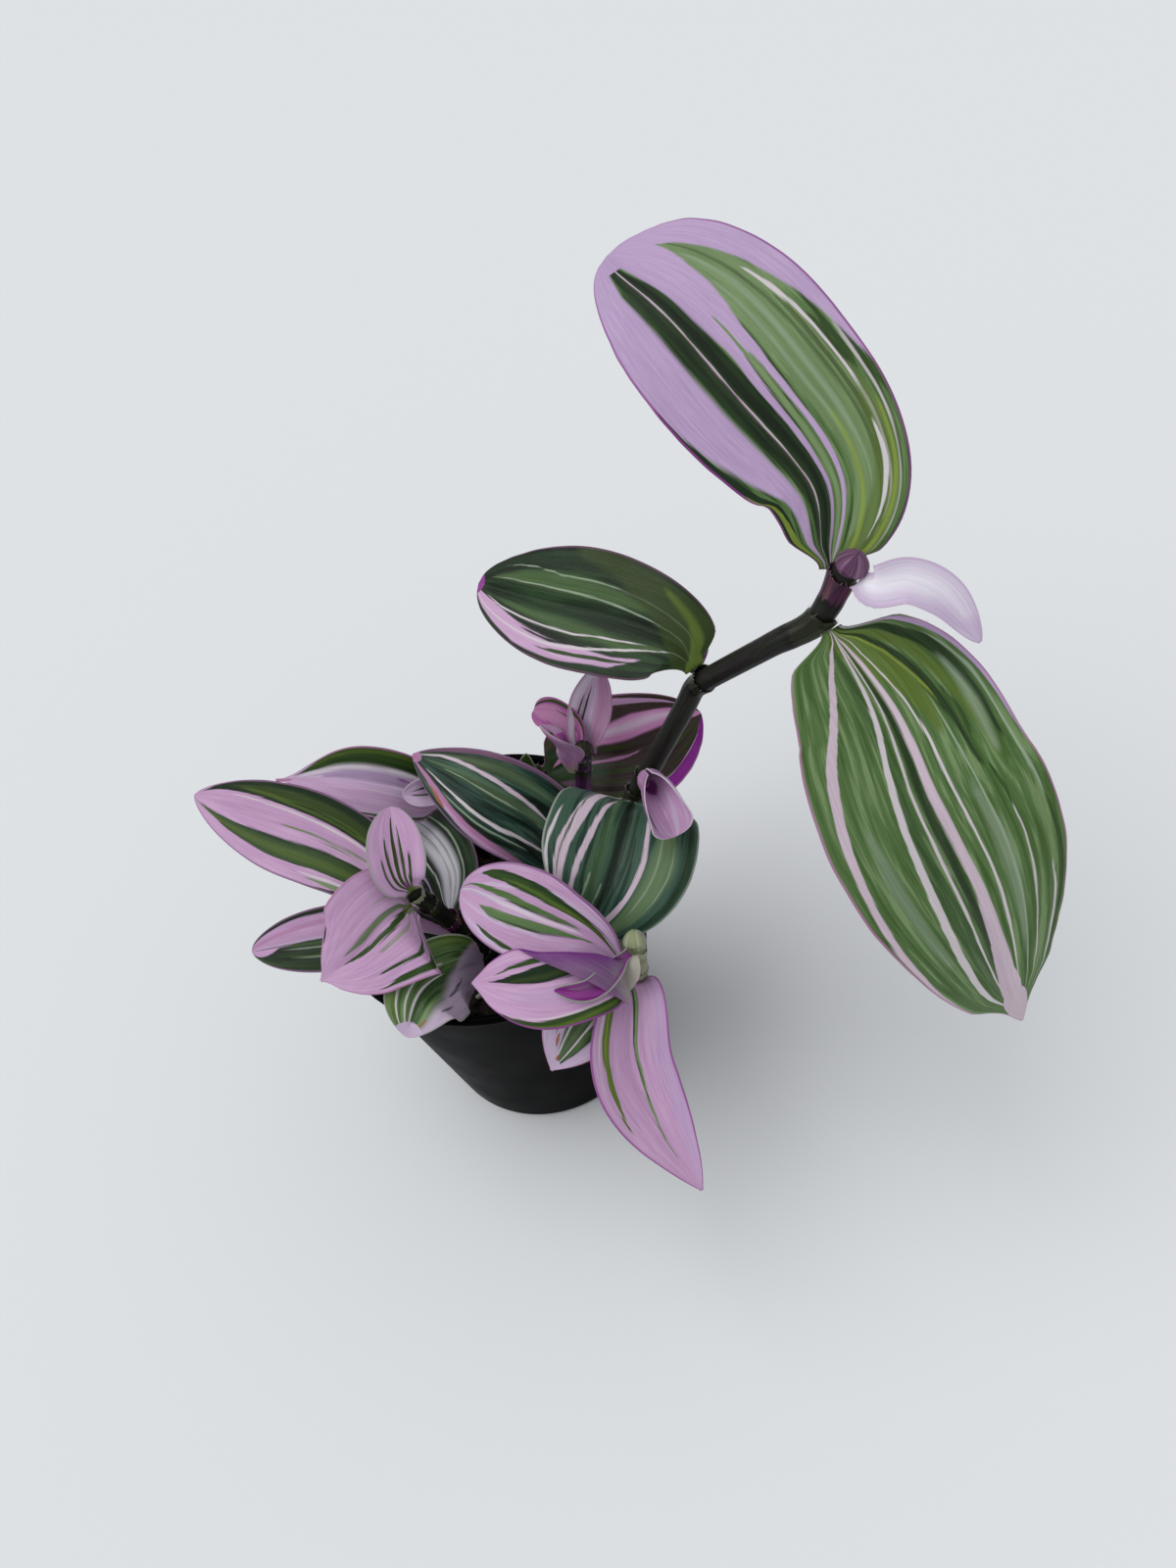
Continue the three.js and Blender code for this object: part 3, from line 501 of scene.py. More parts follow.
        "outline": [20, 0.5, 0.6, 0.9], "curl": [15, 20], "wave": [0.3, 1, 0],
        "ground": ["pine", "spruce", "sage"], "edge": "rose",
        "bands": [
            ("greyGreen", [(30, 0, 20), (70, 0, 20), (90, 0, 10)], 0.5, 8),
            ("lilac", [(20, -85, 20), (60, -80, 22), (95, -70, 30)], 1, 2),
            ("lilac", [(20, 75, 30), (60, 70, 36), (85, 60, 40), (95, 60, 50)], 1, 2),
            ("pine", [(45, 60, 0), (60, 58, 3), (75, 50, 0)], 0.9),
            ("pine", [(40, 85, 0), (50, 84, 3), (60, 80, 0)], 0.9),
            ("pale", [(30, -30, 2), (90, -20, 4)]),
            ("pale", [(30, 20, 2), (90, 15, 4)]),
            ("rust", [(72, 42, 0), (77, 40, 7), (82, 36, 0)], 0.9, 2),
            ("rust", [(86, 10, 0), (90, 8, 12), (94, 5, 0)], 0.9, 2),
            ("lilac", [(90, 0, 0), (96, 0, 100), (100, 0, 200)], 1, 3),
        ],
    },
    "leaf_left_far": {
        "stem": "left_stem", "sheath": [49, 52],
        "path": [[-33, 8, 109], [-48, 23, 113], [-65, 41, 115]],
        "outline": [25, 0.5, 0.5, 0.7], "curl": [25, 25], "wave": [0.4, 1, 0],
        "ground": ["pink", "pink", "petal"], "edge": "dusk",
        "bands": [
            ("pine", [(0, 60, 30), (30, 70, 34), (60, 76, 28), (80, 83, 20), (92, 85, 10), (97, 80, 0)]),
            ("olive", [(2, 50, 6), (30, 60, 16), (60, 72, 16), (85, 84, 0)], 1, 4),
            ("fern", [(20, 46, 0), (34, 50, 6), (60, 60, 5), (80, 76, 0)], 0.6, 3),
            ("pine", [(10, 86, 5), (40, 88, 6), (70, 90, 4), (85, 90, 0)], 0.7, 3),
            ("pine", [(30, 50, 0), (45, 56, 3), (60, 62, 0)], 0.8, 2),
            ("pale", [(0, 26, 3), (40, 32, 2.5), (70, 44, 1.5), (85, 55, 0)]),
            ("greyGreen", [(0, 4, 3), (30, 6, 2), (50, 6, 1.2), (62, 6, 0)]),
            ("greyGreen", [(0, -5, 2), (20, -4, 1.2), (45, -3, 0)]),
            ("moss", [(0, -36, 20), (30, -40, 24), (60, -45, 22), (80, -50, 17), (92, -46, 8), (97, -40, 0)]),
            ("pine", [(10, -19, 3), (40, -21, 3.5), (65, -28, 4), (82, -36, 0)], 0.85, 2),
            ("fern", [(5, -42, 8), (50, -48, 10), (85, -52, 5)], 0.5, 4),
            ("pale", [(0, -70, 3), (35, -76, 3), (48, -78, 0)]),
            ("greyGreen", [(0, -82, 5), (30, -85, 5), (45, -85, 0)]),
            ("pine", [(0, -95, 6), (30, -97, 5), (45, -100, 0)]),
        ],
    },
    "leaf_left_upright": {
        "stem": "left_stem", "sheath": [62.3, 64], "sheathSkin": "paleSheath", "cap": True,
        "path": [[-19.5, -15.5, 116], [-18, -11.5, 122.5], [-15.2, -4.5, 130]], "joins": "leaf_left_pale",
        "outline": [15, 0.52, 0.45, 0.5], "curl": [40, 30],
        "ground": ["pink", "pink", "petal"], "edge": "hem",
        "bands": [
            ("olive", [(4, -20, 9), (30, -30, 6), (55, -36, 4), (70, -38, 0)]),
            ("olive", [(4, -5, 10), (30, -8, 8), (60, -10, 7), (82, -10, 3), (90, -10, 0)]),
            ("olive", [(4, 10, 9), (30, 15, 7), (60, 14, 5), (84, 12, 0)]),
            ("moss", [(4, 28, 8), (30, 38, 6), (55, 42, 0)]),
            ("moss", [(10, -50, 4), (30, -56, 4), (50, -56, 0)], 0.9),
            ("magenta", [(7, 2, 0), (13, 2, 9), (20, 2, 0)], 0.9, 2),
            ("fern", [(0, 0, 200), (5, 0, 60), (10, 0, 0)], 0.8, 3),
        ],
    },
    "leaf_left_pale": {
        "stem": "left_stem", "sheath": [56.5, 59], "sheathSkin": "paleSheath",
        "path": [[-26.8, -20, 108.8], [-36, -23.2, 105.8], [-48, -23, 101]],
        "outline": [28, 0.42, 0.35, 0.9, 0.3], "wider": [0.4, 0.05], "curl": [15, 20], "wave": [0.4, 1, 0],
        "ground": ["pink", "pink", "petal"], "edge": "rose",
        "bands": [
            ("sage", [(0, 10, 6), (10, 14, 6), (30, 12, 5.5), (50, 14, 5), (74, 18, 0)], 0.9, 2),
            ("moss", [(0, 0, 6), (10, -4, 5), (30, -10, 4.5), (50, -8, 4.5), (68, -2, 3.5), (78, 0, 0)]),
            ("greyGreen", [(5, 30, 0), (12, 38, 3), (30, 40, 0)], 0.7, 2),
            ("greyGreen", [(5, -15, 0), (20, -25, 3), (40, -26, 2), (50, -25, 0)], 0.7, 2),
            ("moss", [(1, -40, 2), (10, -55, 4), (30, -62, 3.5), (50, -60, 3), (60, -60, 0)]),
            ("moss", [(1, -60, 4), (10, -82, 6), (30, -86, 6), (50, -86, 6), (66, -90, 0)]),
            ("pine", [(66, 95, 0), (72, 95, 4), (80, 95, 0)], 0.9),
            ("fern", [(0, 0, 60), (4, 0, 30), (12, 0, 0)], 0.7, 4),
        ],
    },
    "leaf_left_low": {
        "stem": "left_stem", "sheath": [33.8, 36.5],
        "path": [[-30, -8, 90], [-49, -1, 89], [-67, 7, 85]],
        "outline": [18, 0.55, 0.5, 0.6], "curl": [25, 25], "wave": [0.4, 1, 0],
        "ground": ["ink", "pine", "moss"], "edge": "dusk",
        "bands": [
            ("pink", [(0, 42, 30), (60, 44, 38), (85, 40, 45), (100, 0, 90)], 1, 2),
            ("mist", [(10, -20, 0), (40, -22, 2), (85, -20, 0)], 0.6, 2),
            ("mist", [(10, -50, 0), (40, -52, 1.5), (80, -50, 0)], 0.5, 2),
            ("rose", [(30, 62, 5), (90, 50, 10)], 0.6, 3),
            ("pine", [(0, 85, 12), (50, 92, 10), (75, 100, 0)]),
            ("lilac", [(20, 8, 4), (90, 5, 5)]),
            ("pine", [(20, 0, 2), (80, 0, 2)], 0.8),
            ("pink", [(0, -85, 22), (45, -95, 14), (62, -100, 0)], 1, 2),
        ],
    },
    "leaf_left_grey": {
        "stem": "left_stem", "sheath": [40, 43], "sheathSkin": "plumSheath",
        "path": [[-10, 6, 87], [-15, 26, 86], [-27, 38, 88.5]],
        "facing": [[0, -0.5, 0.85], [0, -0.4, 0.9]],
        "outline": [21, 0.5, 0.5, 0.7], "curl": [20, 20], "wave": [0.4, 1, 0],
        "ground": ["ink", "pine", "spruce"], "edge": "dusk",
        "bands": [
            ("snow", [(0, 5, 30), (30, 10, 30), (60, 10, 30), (100, 10, 25)], 0.8, 6),
            ("spruce", [(10, 5, 2), (90, 5, 2)], 0.5, 2),
            ("spruce", [(10, 24, 2), (90, 26, 2)], 0.5, 2),
            ("mist", [(10, 50, 2), (50, 60, 3), (90, 50, 2)]),
            ("pale", [(10, -34, 1.5), (50, -40, 2.5), (90, -35, 2)]),
            ("lavender", [(10, -70, 3), (50, -75, 6), (90, -60, 5)]),
        ],
    },
    "leaf_left_rim": {
        "stem": "left_stem", "sheath": [24, 27],
        "path": [[-19, -29.3, 89.8], [-26.6, -34.6, 93.6], [-33.6, -41.3, 90.4]],
        "outline": [22.5, 0.6, 0.5, 0.65], "curl": [20, 20], "wave": [0.4, 1, 0],
        "ground": ["moss", "sage", "greyGreen"], "edge": "hem",
        "bands": [
            ("spruce", [(35, 0, 20), (60, 0, 20), (85, 0, 10)], 0.7, 10),
            ("fern", [(30, 90, 15), (80, 85, 20), (95, 70, 10)], 0.5, 6),
            ("lilac", [(0, 0, 200), (25, -10, 100), (42, -45, 55), (65, -75, 36), (95, -80, 25)], 0.85, 10),
            ("pine", [(35, -20, 0), (50, -35, 4), (60, -40, 0)], 0.8, 2),
            ("pine", [(60, -62, 0), (70, -64, 3), (78, -64, 0)], 0.8, 2),
            ("pale", [(50, 12, 0), (70, 14, 3), (95, 12, 3)]),
            ("pale", [(50, 36, 0), (70, 40, 2.5), (95, 30, 3)]),
            ("pale", [(60, 62, 0), (75, 68, 3), (95, 60, 4)]),
            ("rust", [(86, -45, 0), (90, -42, 8), (94, -38, 0)], 0.7, 2),
            ("lilac", [(90, 0, 0), (96, 0, 100), (100, 0, 200)], 1, 4),
        ],
    },
    "leaf_rear_left_long": {
        "stem": "rear_left_stem", "sheath": [43, 46],
        "path": [[-15, 28, 103], [-27, 34, 107], [-45, 47, 103]],
        "outline": [20, 0.38, 0.5, 1.5], "curl": [25, 35], "wave": [0.4, 1, 0],
        "ground": ["lilac", "lilac", "white"], "edge": "rose",
        "bands": [
            ("moss", [(0, 80, 30), (25, 78, 30), (50, 74, 30), (70, 72, 25), (82, 70, 10),
                      (88, 66, 0)], 1, 3),
            ("fern", [(10, 90, 5), (60, 86, 6), (78, 80, 0)], 0.6, 3),
            ("pine", [(10, 62, 4), (40, 62, 4), (70, 64, 0)], 0.5, 3),
            ("white", [(20, 40, 0), (40, 38, 8), (60, 38, 10), (85, 40, 0)], 0.6, 6),
            ("lavender", [(22, 15, 0), (36, 18, 18), (55, 12, 18), (70, 10, 0)], 0.9, 8),
            ("magenta", [(21, 20, 0), (25, 22, 5), (29, 24, 0)], 0.6, 2),
            ("pink", [(10, -55, 30), (60, -50, 40), (85, -40, 60), (100, 0, 100)], 0.8, 10),
            ("moss", [(5, -90, 5), (30, -92, 4), (48, -95, 0)]),
            ("rose", [(88, 0, 0), (95, 0, 100), (100, 0, 200)], 1, 6),
        ],
    },
    "leaf_rear_left_new": {
        "stem": "rear_left_stem", "sheath": [51, 52.5], "cap": True,
        "path": [[-8, 20, 104], [-13, 21, 105]], "joins": "leaf_rear_left_long",
        "outline": [9, 0.5, 0.6, 0.6], "curl": [60, 40],
        "ground": ["pink", "lilac", "lilac"], "edge": "lilac",
        "bands": [
            ("pine", [(0, 30, 8), (50, 30, 12), (90, 20, 0)]),
            ("moss", [(0, -15, 5), (50, -15, 6), (85, -10, 0)]),
        ],
    },
    "leaf_small_pink": {
        "stem": "small_stem", "sheath": [54.5, 56],
        "path": [[35, 12.5, 112.5], [32.5, 18, 114.5], [29, 24, 113.5]], "joins": "leaf_small_tall",
        "outline": [11, 0.6, 0.5, 0.5], "curl": [60, 60],
        "ground": ["fuchsia", "rose", "rose"], "edge": "fuchsia",
        "bands": [
            ("olive", [(20, 90, 10), (50, 88, 14), (90, 75, 10)]),
            ("olive", [(35, 35, 0), (50, 40, 6), (70, 36, 0)], 0.9),
            ("violet", [(0, 0, 60), (25, 10, 25), (40, 10, 0)], 0.8, 4),
        ],
    },
    "leaf_small_tall": {
        "stem": "small_stem", "sheath": [57, 58.2], "cap": True,
        "path": [[38.5, 11, 111], [42, 14.2, 115.2], [45.2, 17.2, 119.3], [48.3, 19.8, 123.8]],
        "outline": [12.5, 0.5, 0.5, 0.6], "curl": [40, 40],
        "ground": ["pink", "lilac", "lilac"], "edge": "rose",
        "bands": [
            ("olive", [(20, -25, 0), (40, -25, 6), (60, -22, 6), (80, -15, 0)]),
            ("olive", [(10, -50, 4), (45, -50, 5), (70, -40, 0)]),
            ("white", [(20, -75, 10), (60, -80, 20), (95, -40, 30)], 0.6, 4),
            ("rose", [(10, 60, 30), (50, 62, 42), (90, 55, 40)], 0.8, 6),
        ],
    },
    "leaf_small_cup": {
        "stem": "small_stem", "sheath": [51.5, 53.5],
        "path": [[30.2, 8.6, 112.6], [28, 14.6, 116.6]], "joins": "leaf_small_tall",
        "facing": [[0.38, 0.68, 0.63], [0.38, 0.4, 0.8]],
        "outline": [12, 0.45, 0.5, 0.6], "curl": [60, 60],
        "ground": ["rose", "pink", "pink"], "edge": "hem", "under": "Pink leaf underside",
        "bands": [("olive", [(10, 30, 20), (50, 30, 30), (90, 20, 0)])],
    },
    "leaf_back_wide": {
        "stem": "back_stem", "sheath": [33, 35],
        "path": [[37, 20.3, 91.3], [50.4, 12.6, 94.8], [72.8, 14.4, 96.5]],
        "facing": [[-0.1, -0.6, 0.8], [-0.1, -0.6, 0.8]],
        "outline": [34, 0.52, 0.5, 0.65], "curl": [[15, 20], [5, 10]], "wave": [0.4, 1, 0],
        "fold": [0.78, 0.68, 40],
        "ground": ["shade", "bark", "olive"], "edge": "rose", "under": "Vivid leaf underside",
        "bands": [
            ("spruce", [(0, 0, 100), (15, 10, 60), (30, 20, 20), (45, 30, 0)], 0.8, 10),
            ("blossom", [(6, -10, 0), (20, -24, 10), (40, -36, 16), (65, -42, 20), (85, -40, 20),
                         (100, -25, 30)], 1, 3),
            ("snow", [(35, -34, 0), (50, -42, 6), (75, -44, 8), (92, -42, 0)], 0.55, 8),
            ("pink", [(20, -86, 0), (40, -90, 5), (60, -88, 6), (85, -82, 4), (95, -75, 0)]),
            ("rose", [(15, 10, 0), (25, 13, 2.5), (50, 6, 3), (62, 3, 0)]),
            ("plum", [(8, 50, 0), (16, 55, 12), (26, 55, 0)], 0.8, 6),
            ("orchid", [(25, 95, 0), (35, 93, 14), (60, 90, 16), (90, 85, 20), (100, 70, 30)]),
            ("pale", [(30, 79, 0), (40, 78, 1.2), (90, 66, 1.2), (97, 60, 0)], 0.8),
        ],
    },
    "leaf_back_tip": {
        "stem": "back_stem", "sheath": [23.5, 25],
        "path": [[21.8, 23, 93.5], [23, 23.7, 98.5]],
        "outline": [8, 0.5, 0.6, 0.6], "curl": [30, 30],
        "ground": ["olive", "moss", "fern"], "edge": "hem",
        "bands": [("greyGreen", [(20, 20, 10), (60, 20, 15), (90, 10, 0)])],
    },
}


def between(ends, share):
    return ends[0] + (ends[1] - ends[0]) * share


def stemRadius(stem, curve, distance):
    a, b = stem["radius"]
    return a + (b - a) * distance / curve["length"]


# A leaf's midrib from inside the sheath's wall, and the size of its neck
def leafFrame(leaf):
    stem = stems[leaf["stem"]]
    curve = curveThrough(stem["path"])
    mouth = leaf["sheath"][1]
    centre, along = (v[0] for v in curveAt(curve, mouth - fit["rootDepth"]))
    outward = np.array(leaf["path"][0]) - centre
    outward = unit(outward - along * (outward @ along))
    root = centre + outward * (stemRadius(stem, curve, mouth) + fit["gap"] + fit["sheathWall"] / 2)
    midrib = curveThrough([root] + leaf["path"])
    facings = unit(np.array(leaf.get("facing", [toViewer, toViewer]), float))
    return {"curve": midrib, "facings": facings, "outward": outward,
            "neck": min(fit["neck"], leaf["outline"][0] / 4), "opened": fit["opening"] / midrib["length"]}


# Where along a leaf, from 0 to 1, each thing starts and ends
spans = {"blunt": (0.3, 0.7), "point": (0.88, 0.98), "wider": (0.2, 0.6), "fold": (0.85, 0.97),
         "waveStarts": (0.1, 0.4), "waveEnds": (0.85, 1)}

# Fine relief of a blade in mm, fading in where the half width goes from the first to the second of "grows":
# each half bows up a little, the midrib is sunk, the margin wavers, and the main veins stand about 3 mm apart
relief = {"grows": (3, 8), "bow": 0.05, "groove": 0.45, "grooveWidth": 0.8, "waver": 0.18, "waverPitch": 1.4,
          "vein": 0.05, "veinPitch": 2.1}


def halfWidth(leaf, shape, s):
    width, widest, baseBlunt, tipBlunt, narrowing = (leaf["outline"] + [0])[:5]
    power = between((baseBlunt, tipBlunt), ease(s, *spans["blunt"]))
    outline = width / 2 * np.maximum(np.sin(np.pi * s ** (np.log(0.5) / np.log(widest))), 0) ** power
    outline = outline * (1 - narrowing * ease(s, *spans["point"]))
    opening = ease(s, 0, shape["opened"])
    return np.maximum(shape["neck"] + (outline - shape["neck"]) * opening, fit["tip"])


# Middle surface of a blade and the upper face's normals: s runs along the leaf, u across it from -1 to 1
def bladeSurface(leaf, shape, s, u, seed):
    s, u = np.asarray(s, float)[:, None], np.asarray(u, float)[None, :]
    left, right = leaf.get("wider", (0, 0))
    half = halfWidth(leaf, shape, s) * (1 + np.where(u > 0, right, left) * (1 - ease(s, *spans["wider"])))
    leftCurl, rightCurl = leaf["curl"] if np.ndim(leaf["curl"]) == 2 else (leaf["curl"], leaf["curl"])
    curl = np.radians(np.where(u > 0, between(rightCurl, s), between(leftCurl, s)))
    curl = np.minimum(np.minimum(curl, half / fit["tightest"]), fit["closedRoll"])
    near, far, turn = leaf.get("fold", (1, 1, 0))
    crease = np.maximum(between((near, far), s), fit["creaseWidth"])
    fold = np.minimum(math.radians(turn), 2 * fit["creaseWidth"] * half / fit["tightestCrease"])
    fold = fold * (u > 0) * (1 - ease(s, *spans["fold"]))

    def bendAt(w):
        return curl * w + fold * ease(w, crease - fit["creaseWidth"], crease + fit["creaseWidth"])

    across, lift, steps = 0, 0, 32
    for k in range(steps):
        turned = bendAt(np.abs(u) * (k + 0.5) / steps)
        across = across + half * u * np.cos(turned) / steps
        lift = lift + half * np.abs(u) * np.sin(turned) / steps
    bend = bendAt(np.abs(u))
    height, count, phase = leaf.get("wave", (0, 1, 0))
    ripple = height * u * u * np.sin(2 * np.pi * count * s + phase + np.where(u > 0, 0, 1.6))
    ripple = ripple * ease(s, *spans["waveStarts"]) * (1 - ease(s, *spans["waveEnds"]))
    bow = relief["bow"] * half * (1 - (2 * np.abs(u) - 1) ** 2)
    groove = -relief["groove"] * np.exp(-(u * half / relief["grooveWidth"]) ** 2)
    ragged = waver(s * half.max() * relief["waverPitch"] + np.where(u > 0, 0, 9), seed)
    margin = relief["waver"] * u ** 4 * ragged
    veins = relief["vein"] * np.cos(u * half * relief["veinPitch"])
    raised = (bow + groove + margin + veins) * ease(half, *relief["grows"])
    point, ahead = curveAt(shape["curve"], s[:, 0] * shape["curve"]["length"])
    up = between(shape["facings"], s)
    up = unit(up - ahead * np.sum(up * ahead, -1, keepdims=True))
    side = np.cross(ahead, up)
    normals = up[:, None] * np.cos(bend)[..., None] - side[:, None] * (np.sign(u) * np.sin(bend))[..., None]
    points = point[:, None] + side[:, None] * across[..., None] + up[:, None] * (lift + ripple)[..., None]
    return points + normals * raised[..., None], normals


# Leaf skins
# Upper face: living leaf, satin cuticle over long parallel veins. The eye sees crisp stripes with frayed
# ends, a soft sheen and a fine lengthwise grain. streaks, swathes and cells: width and length in mm. fray,
# soft and margin: in mm too. groundAt: the noise levels between which the dark, the middle and the light tone
# of the ground pass into each other. roughness: the least and the most.
leafSkin = {"roughness": (0.37, 0.5), "shine": 0.28, "ior": 1.42, "subsurface": 0.1, "streaks": (0.5, 14),
            "swathes": (1.7, 26), "cells": (0.45, 0.9), "fray": 1.4, "soft": 0.2, "margin": 0.35,
            "marginStrength": 0.8, "groundAt": (0.41, 0.46, 0.52, 0.6), "veinDark": 0.3, "veinLight": 0.72,
            "veinStrength": 0.5, "bump": 0.35, "bumpHeight": 0.25}


def stripedLeaf(name, leaf, length, seed):
    material, tree = newMaterial("Striped leaf cuticle " + name)
    width = leaf["outline"][0]
    uv = addNode(tree, "UVMap", uv_map="skin")
    across, along = addNode(tree, "SeparateXYZ", {0: uv}).outputs[:2]
    patterns = ("streaks", "swathes", "cells")
    repeats = [(width / leafSkin[key][0], length / leafSkin[key][1]) for key in patterns]
    streaks = drawnNoise(tree, uv, repeats[0], 3, 0.6, (seed * 3.7, seed * 1.3, 0))
    swathes = drawnNoise(tree, uv, repeats[1], 3, 0.55, (seed * 1.9, seed * 2.3, 4))
    cells = drawnNoise(tree, uv, repeats[2], 1)
    shift = addNode(tree, "Math", {0: streaks, 1: 0.5}, operation="SUBTRACT")
    frayed = addNode(tree, "Math", {0: shift, 1: leafSkin["fray"] / width}, operation="MULTIPLY")
    colour = addNode(tree, "ValToRGB", {0: swathes})
    ground = [linear(tones[tone]) for tone in leaf["ground"]]
    setStops(colour, leafSkin["groundAt"], [ground[0], ground[1], ground[1], ground[2]])

    for tone, points, *look in leaf["bands"]:  # the ramp holds the band's middle, inner and outer half width
        strength, blur = (look + [1, 1])[:2]
        soft = leafSkin["soft"] / width * blur
        ramp = addNode(tree, "ValToRGB", {0: along})
        setStops(ramp, [s / 100 for s, u, half in points], [
            ((u / 100 + 1) / 2, max(half / 200 - soft, 0), half / 200 + soft, min(1, half * 10))
            for s, u, half in points])
        centre, inner, outer = addNode(tree, "SeparateColor", {0: ramp}).outputs[:3]
        offset = addNode(tree, "Math", {0: across, 1: centre}, operation="SUBTRACT")
        distance = addNode(tree, "Math", {0: offset}, operation="ABSOLUTE")
        torn = addNode(tree, "Math", {0: distance, 1: frayed}, operation="ADD")
        whole = addNode(tree, "Math", {0: ramp.outputs[1], 1: 4 * strength}, operation="MULTIPLY")
        most = addNode(tree, "Math", {0: whole, 1: strength}, operation="MINIMUM")
        cover = addNode(tree, "MapRange", {0: torn, 1: inner, 2: outer, 3: most, 4: 0.0},
                        interpolation_type="SMOOTHSTEP")
        colour = addNode(tree, "Mix", {0: cover, 6: colour, 7: tones[tone]}, data_type="RGBA")

    veined = addNode(tree, "MapRange", {0: streaks, 1: 0.3, 2: 0.7, 3: leafSkin["veinDark"],
                                        4: leafSkin["veinLight"]})
    streaked = addNode(tree, "Mix", {0: leafSkin["veinStrength"], 6: colour, 7: veined}, data_type="RGBA",
                       blend_type="SOFT_LIGHT")
    middle = addNode(tree, "Math", {0: across, 1: 0.5}, operation="SUBTRACT")
    fromMiddle = addNode(tree, "Math", {0: middle}, operation="ABSOLUTE")
    rim = leafSkin["margin"] / width
    edged = tint(tree, streaked, tones[leaf["edge"]], fromMiddle, 0.5 - 1.3 * rim, 0.5 - 0.5 * rim,
                 leafSkin["marginStrength"])
    grain = addNode(tree, "Math", {0: cells, 1: 0.35, 2: streaks}, operation="MULTIPLY_ADD")
    bump = addNode(tree, "Bump", {"Strength": leafSkin["bump"], "Distance": leafSkin["bumpHeight"] * mm,
                                  "Height": grain})
    gloss = addNode(tree, "MapRange", {0: cells, 1: 0.3, 2: 0.7, 3: leafSkin["roughness"][0],
                                       4: leafSkin["roughness"][1]})
    skin = addNode(tree, "BsdfPrincipled", {
        "Base Color": edged, "Roughness": gloss, "IOR": leafSkin["ior"],
        "Specular IOR Level": leafSkin["shine"],
        "Subsurface Weight": leafSkin["subsurface"], "Subsurface Radius": (1.0, 0.6, 0.5),
        "Subsurface Scale": 0.6 * mm, "Normal": bump})
    addNode(tree, "OutputMaterial", {"Surface": skin})
    return material


# Lower face: the same leaf from beneath, smooth and wet-looking. The eye sees deep purple with paler veins,
# and a vivid glow where the rolled leaf is folded. crease: where it glows at the base and at the tip, and in
# which colour.
underSkins = {
    "Purple leaf underside": {"deep": "#43204a", "bright": "#713974", "vein": "#8d6090", "base": "#5d3a5c"},
    "Vivid leaf underside": {"deep": "#6d1470", "bright": "#8f1d90", "vein": "#a0509f", "base": "#8f1d90"},
    "Rolled leaf underside": {"deep": "#6a4570", "bright": "#87628a", "vein": "#9c8c98", "base": "#a9ab95",
                              "crease": (-0.05, 1.45, "#6a1878")},
    "Pink leaf underside": {"deep": "#9a6a94", "bright": "#b58ab0", "vein": "#c9a8c4", "base": "#8b9468"},
    "Young leaf underside": {"deep": "#b9a3c6", "bright": "#d5c8dc", "vein": "#dfd8e2", "base": "#dcd9dc"},
}

# Its pattern, for a usual leaf, in mm, and its finish. Each "At" gives the levels between which a colour comes
# in, and its strength.
underside = {"size": (24, 50), "veins": (0.6, 18), "patches": (5, 24), "brightAt": (0.35, 0.65),
             "veinAt": (0.56, 0.68, 0.45), "baseAt": (0.22, 0.04, 0.85), "creaseAt": (0.17, 0.03, 0.9),
             "bump": 0.35, "bumpHeight": 0.25, "roughness": 0.4, "ior": 1.42, "subsurface": 0.12}


def undersideOf(name):
    look = underSkins[name]
    width, length = underside["size"]
    material, tree = newMaterial(name)
    uv = addNode(tree, "UVMap", uv_map="skin")
    streaks = drawnNoise(tree, uv, (width / underside["veins"][0], length / underside["veins"][1]), 3)
    patches = drawnNoise(tree, uv, (width / underside["patches"][0], length / underside["patches"][1]), 2)
    across, along = addNode(tree, "SeparateXYZ", {0: uv}).outputs[:2]
    colour = tint(tree, look["deep"], look["bright"], patches, *underside["brightAt"])
    colour = tint(tree, colour, look["vein"], streaks, *underside["veinAt"])
    colour = tint(tree, colour, look["base"], along, *underside["baseAt"])
    if "crease" in look:
        near, far, glowing = look["crease"]
        line = addNode(tree, "Math", {0: along, 1: (far - near) / 2, 2: (near + 1) / 2},
                       operation="MULTIPLY_ADD")
        beyond = addNode(tree, "Math", {0: across, 1: line}, operation="SUBTRACT")
        colour = tint(tree, colour, glowing, beyond, *underside["creaseAt"])
    bump = addNode(tree, "Bump", {"Strength": underside["bump"], "Distance": underside["bumpHeight"] * mm,
                                  "Height": streaks})
    skin = addNode(tree, "BsdfPrincipled", {
        "Base Color": colour, "Roughness": underside["roughness"], "IOR": underside["ior"],
        "Subsurface Weight": underside["subsurface"], "Subsurface Radius": (1.0, 0.5, 0.8),
        "Subsurface Scale": 0.6 * mm, "Normal": bump})
    addNode(tree, "OutputMaterial", {"Surface": skin})
    return material


# Stem and sheath: fleshy, ribbed lengthwise, thin waxy skin. The eye sees a dull sheen, streaks along it and
# a dark ring at each joint.
stemSkins = {
    "darkStem": {"low": "#0b0d07", "high": "#24281a", "flush": "#1b1215", "ring": "#0a0706"},
    "paleStem": {"low": "#76825a", "high": "#a5ab8c", "flush": "#93868a", "ring": "#77805c"},
    "purpleStem": {"low": "#2c1230", "high": "#552356", "flush": "#6c3f70", "ring": "#1d0d20"},
    "darkSheath": {"low": "#15180c", "high": "#30351b", "flush": "#332227", "ring": "#0f0a09"},
    "plumSheath": {"low": "#2b0f2b", "high": "#592745", "flush": "#7b5f56", "ring": "#1a0d14"},
    "lilacSheath": {"low": "#4a2443", "high": "#8d6a86", "flush": "#7b4a76", "ring": "#2d1426"},
    "paleSheath": {"low": "#7d8959", "high": "#a8ad8f", "flush": "#a295a0", "ring": "#8d9672"},
}

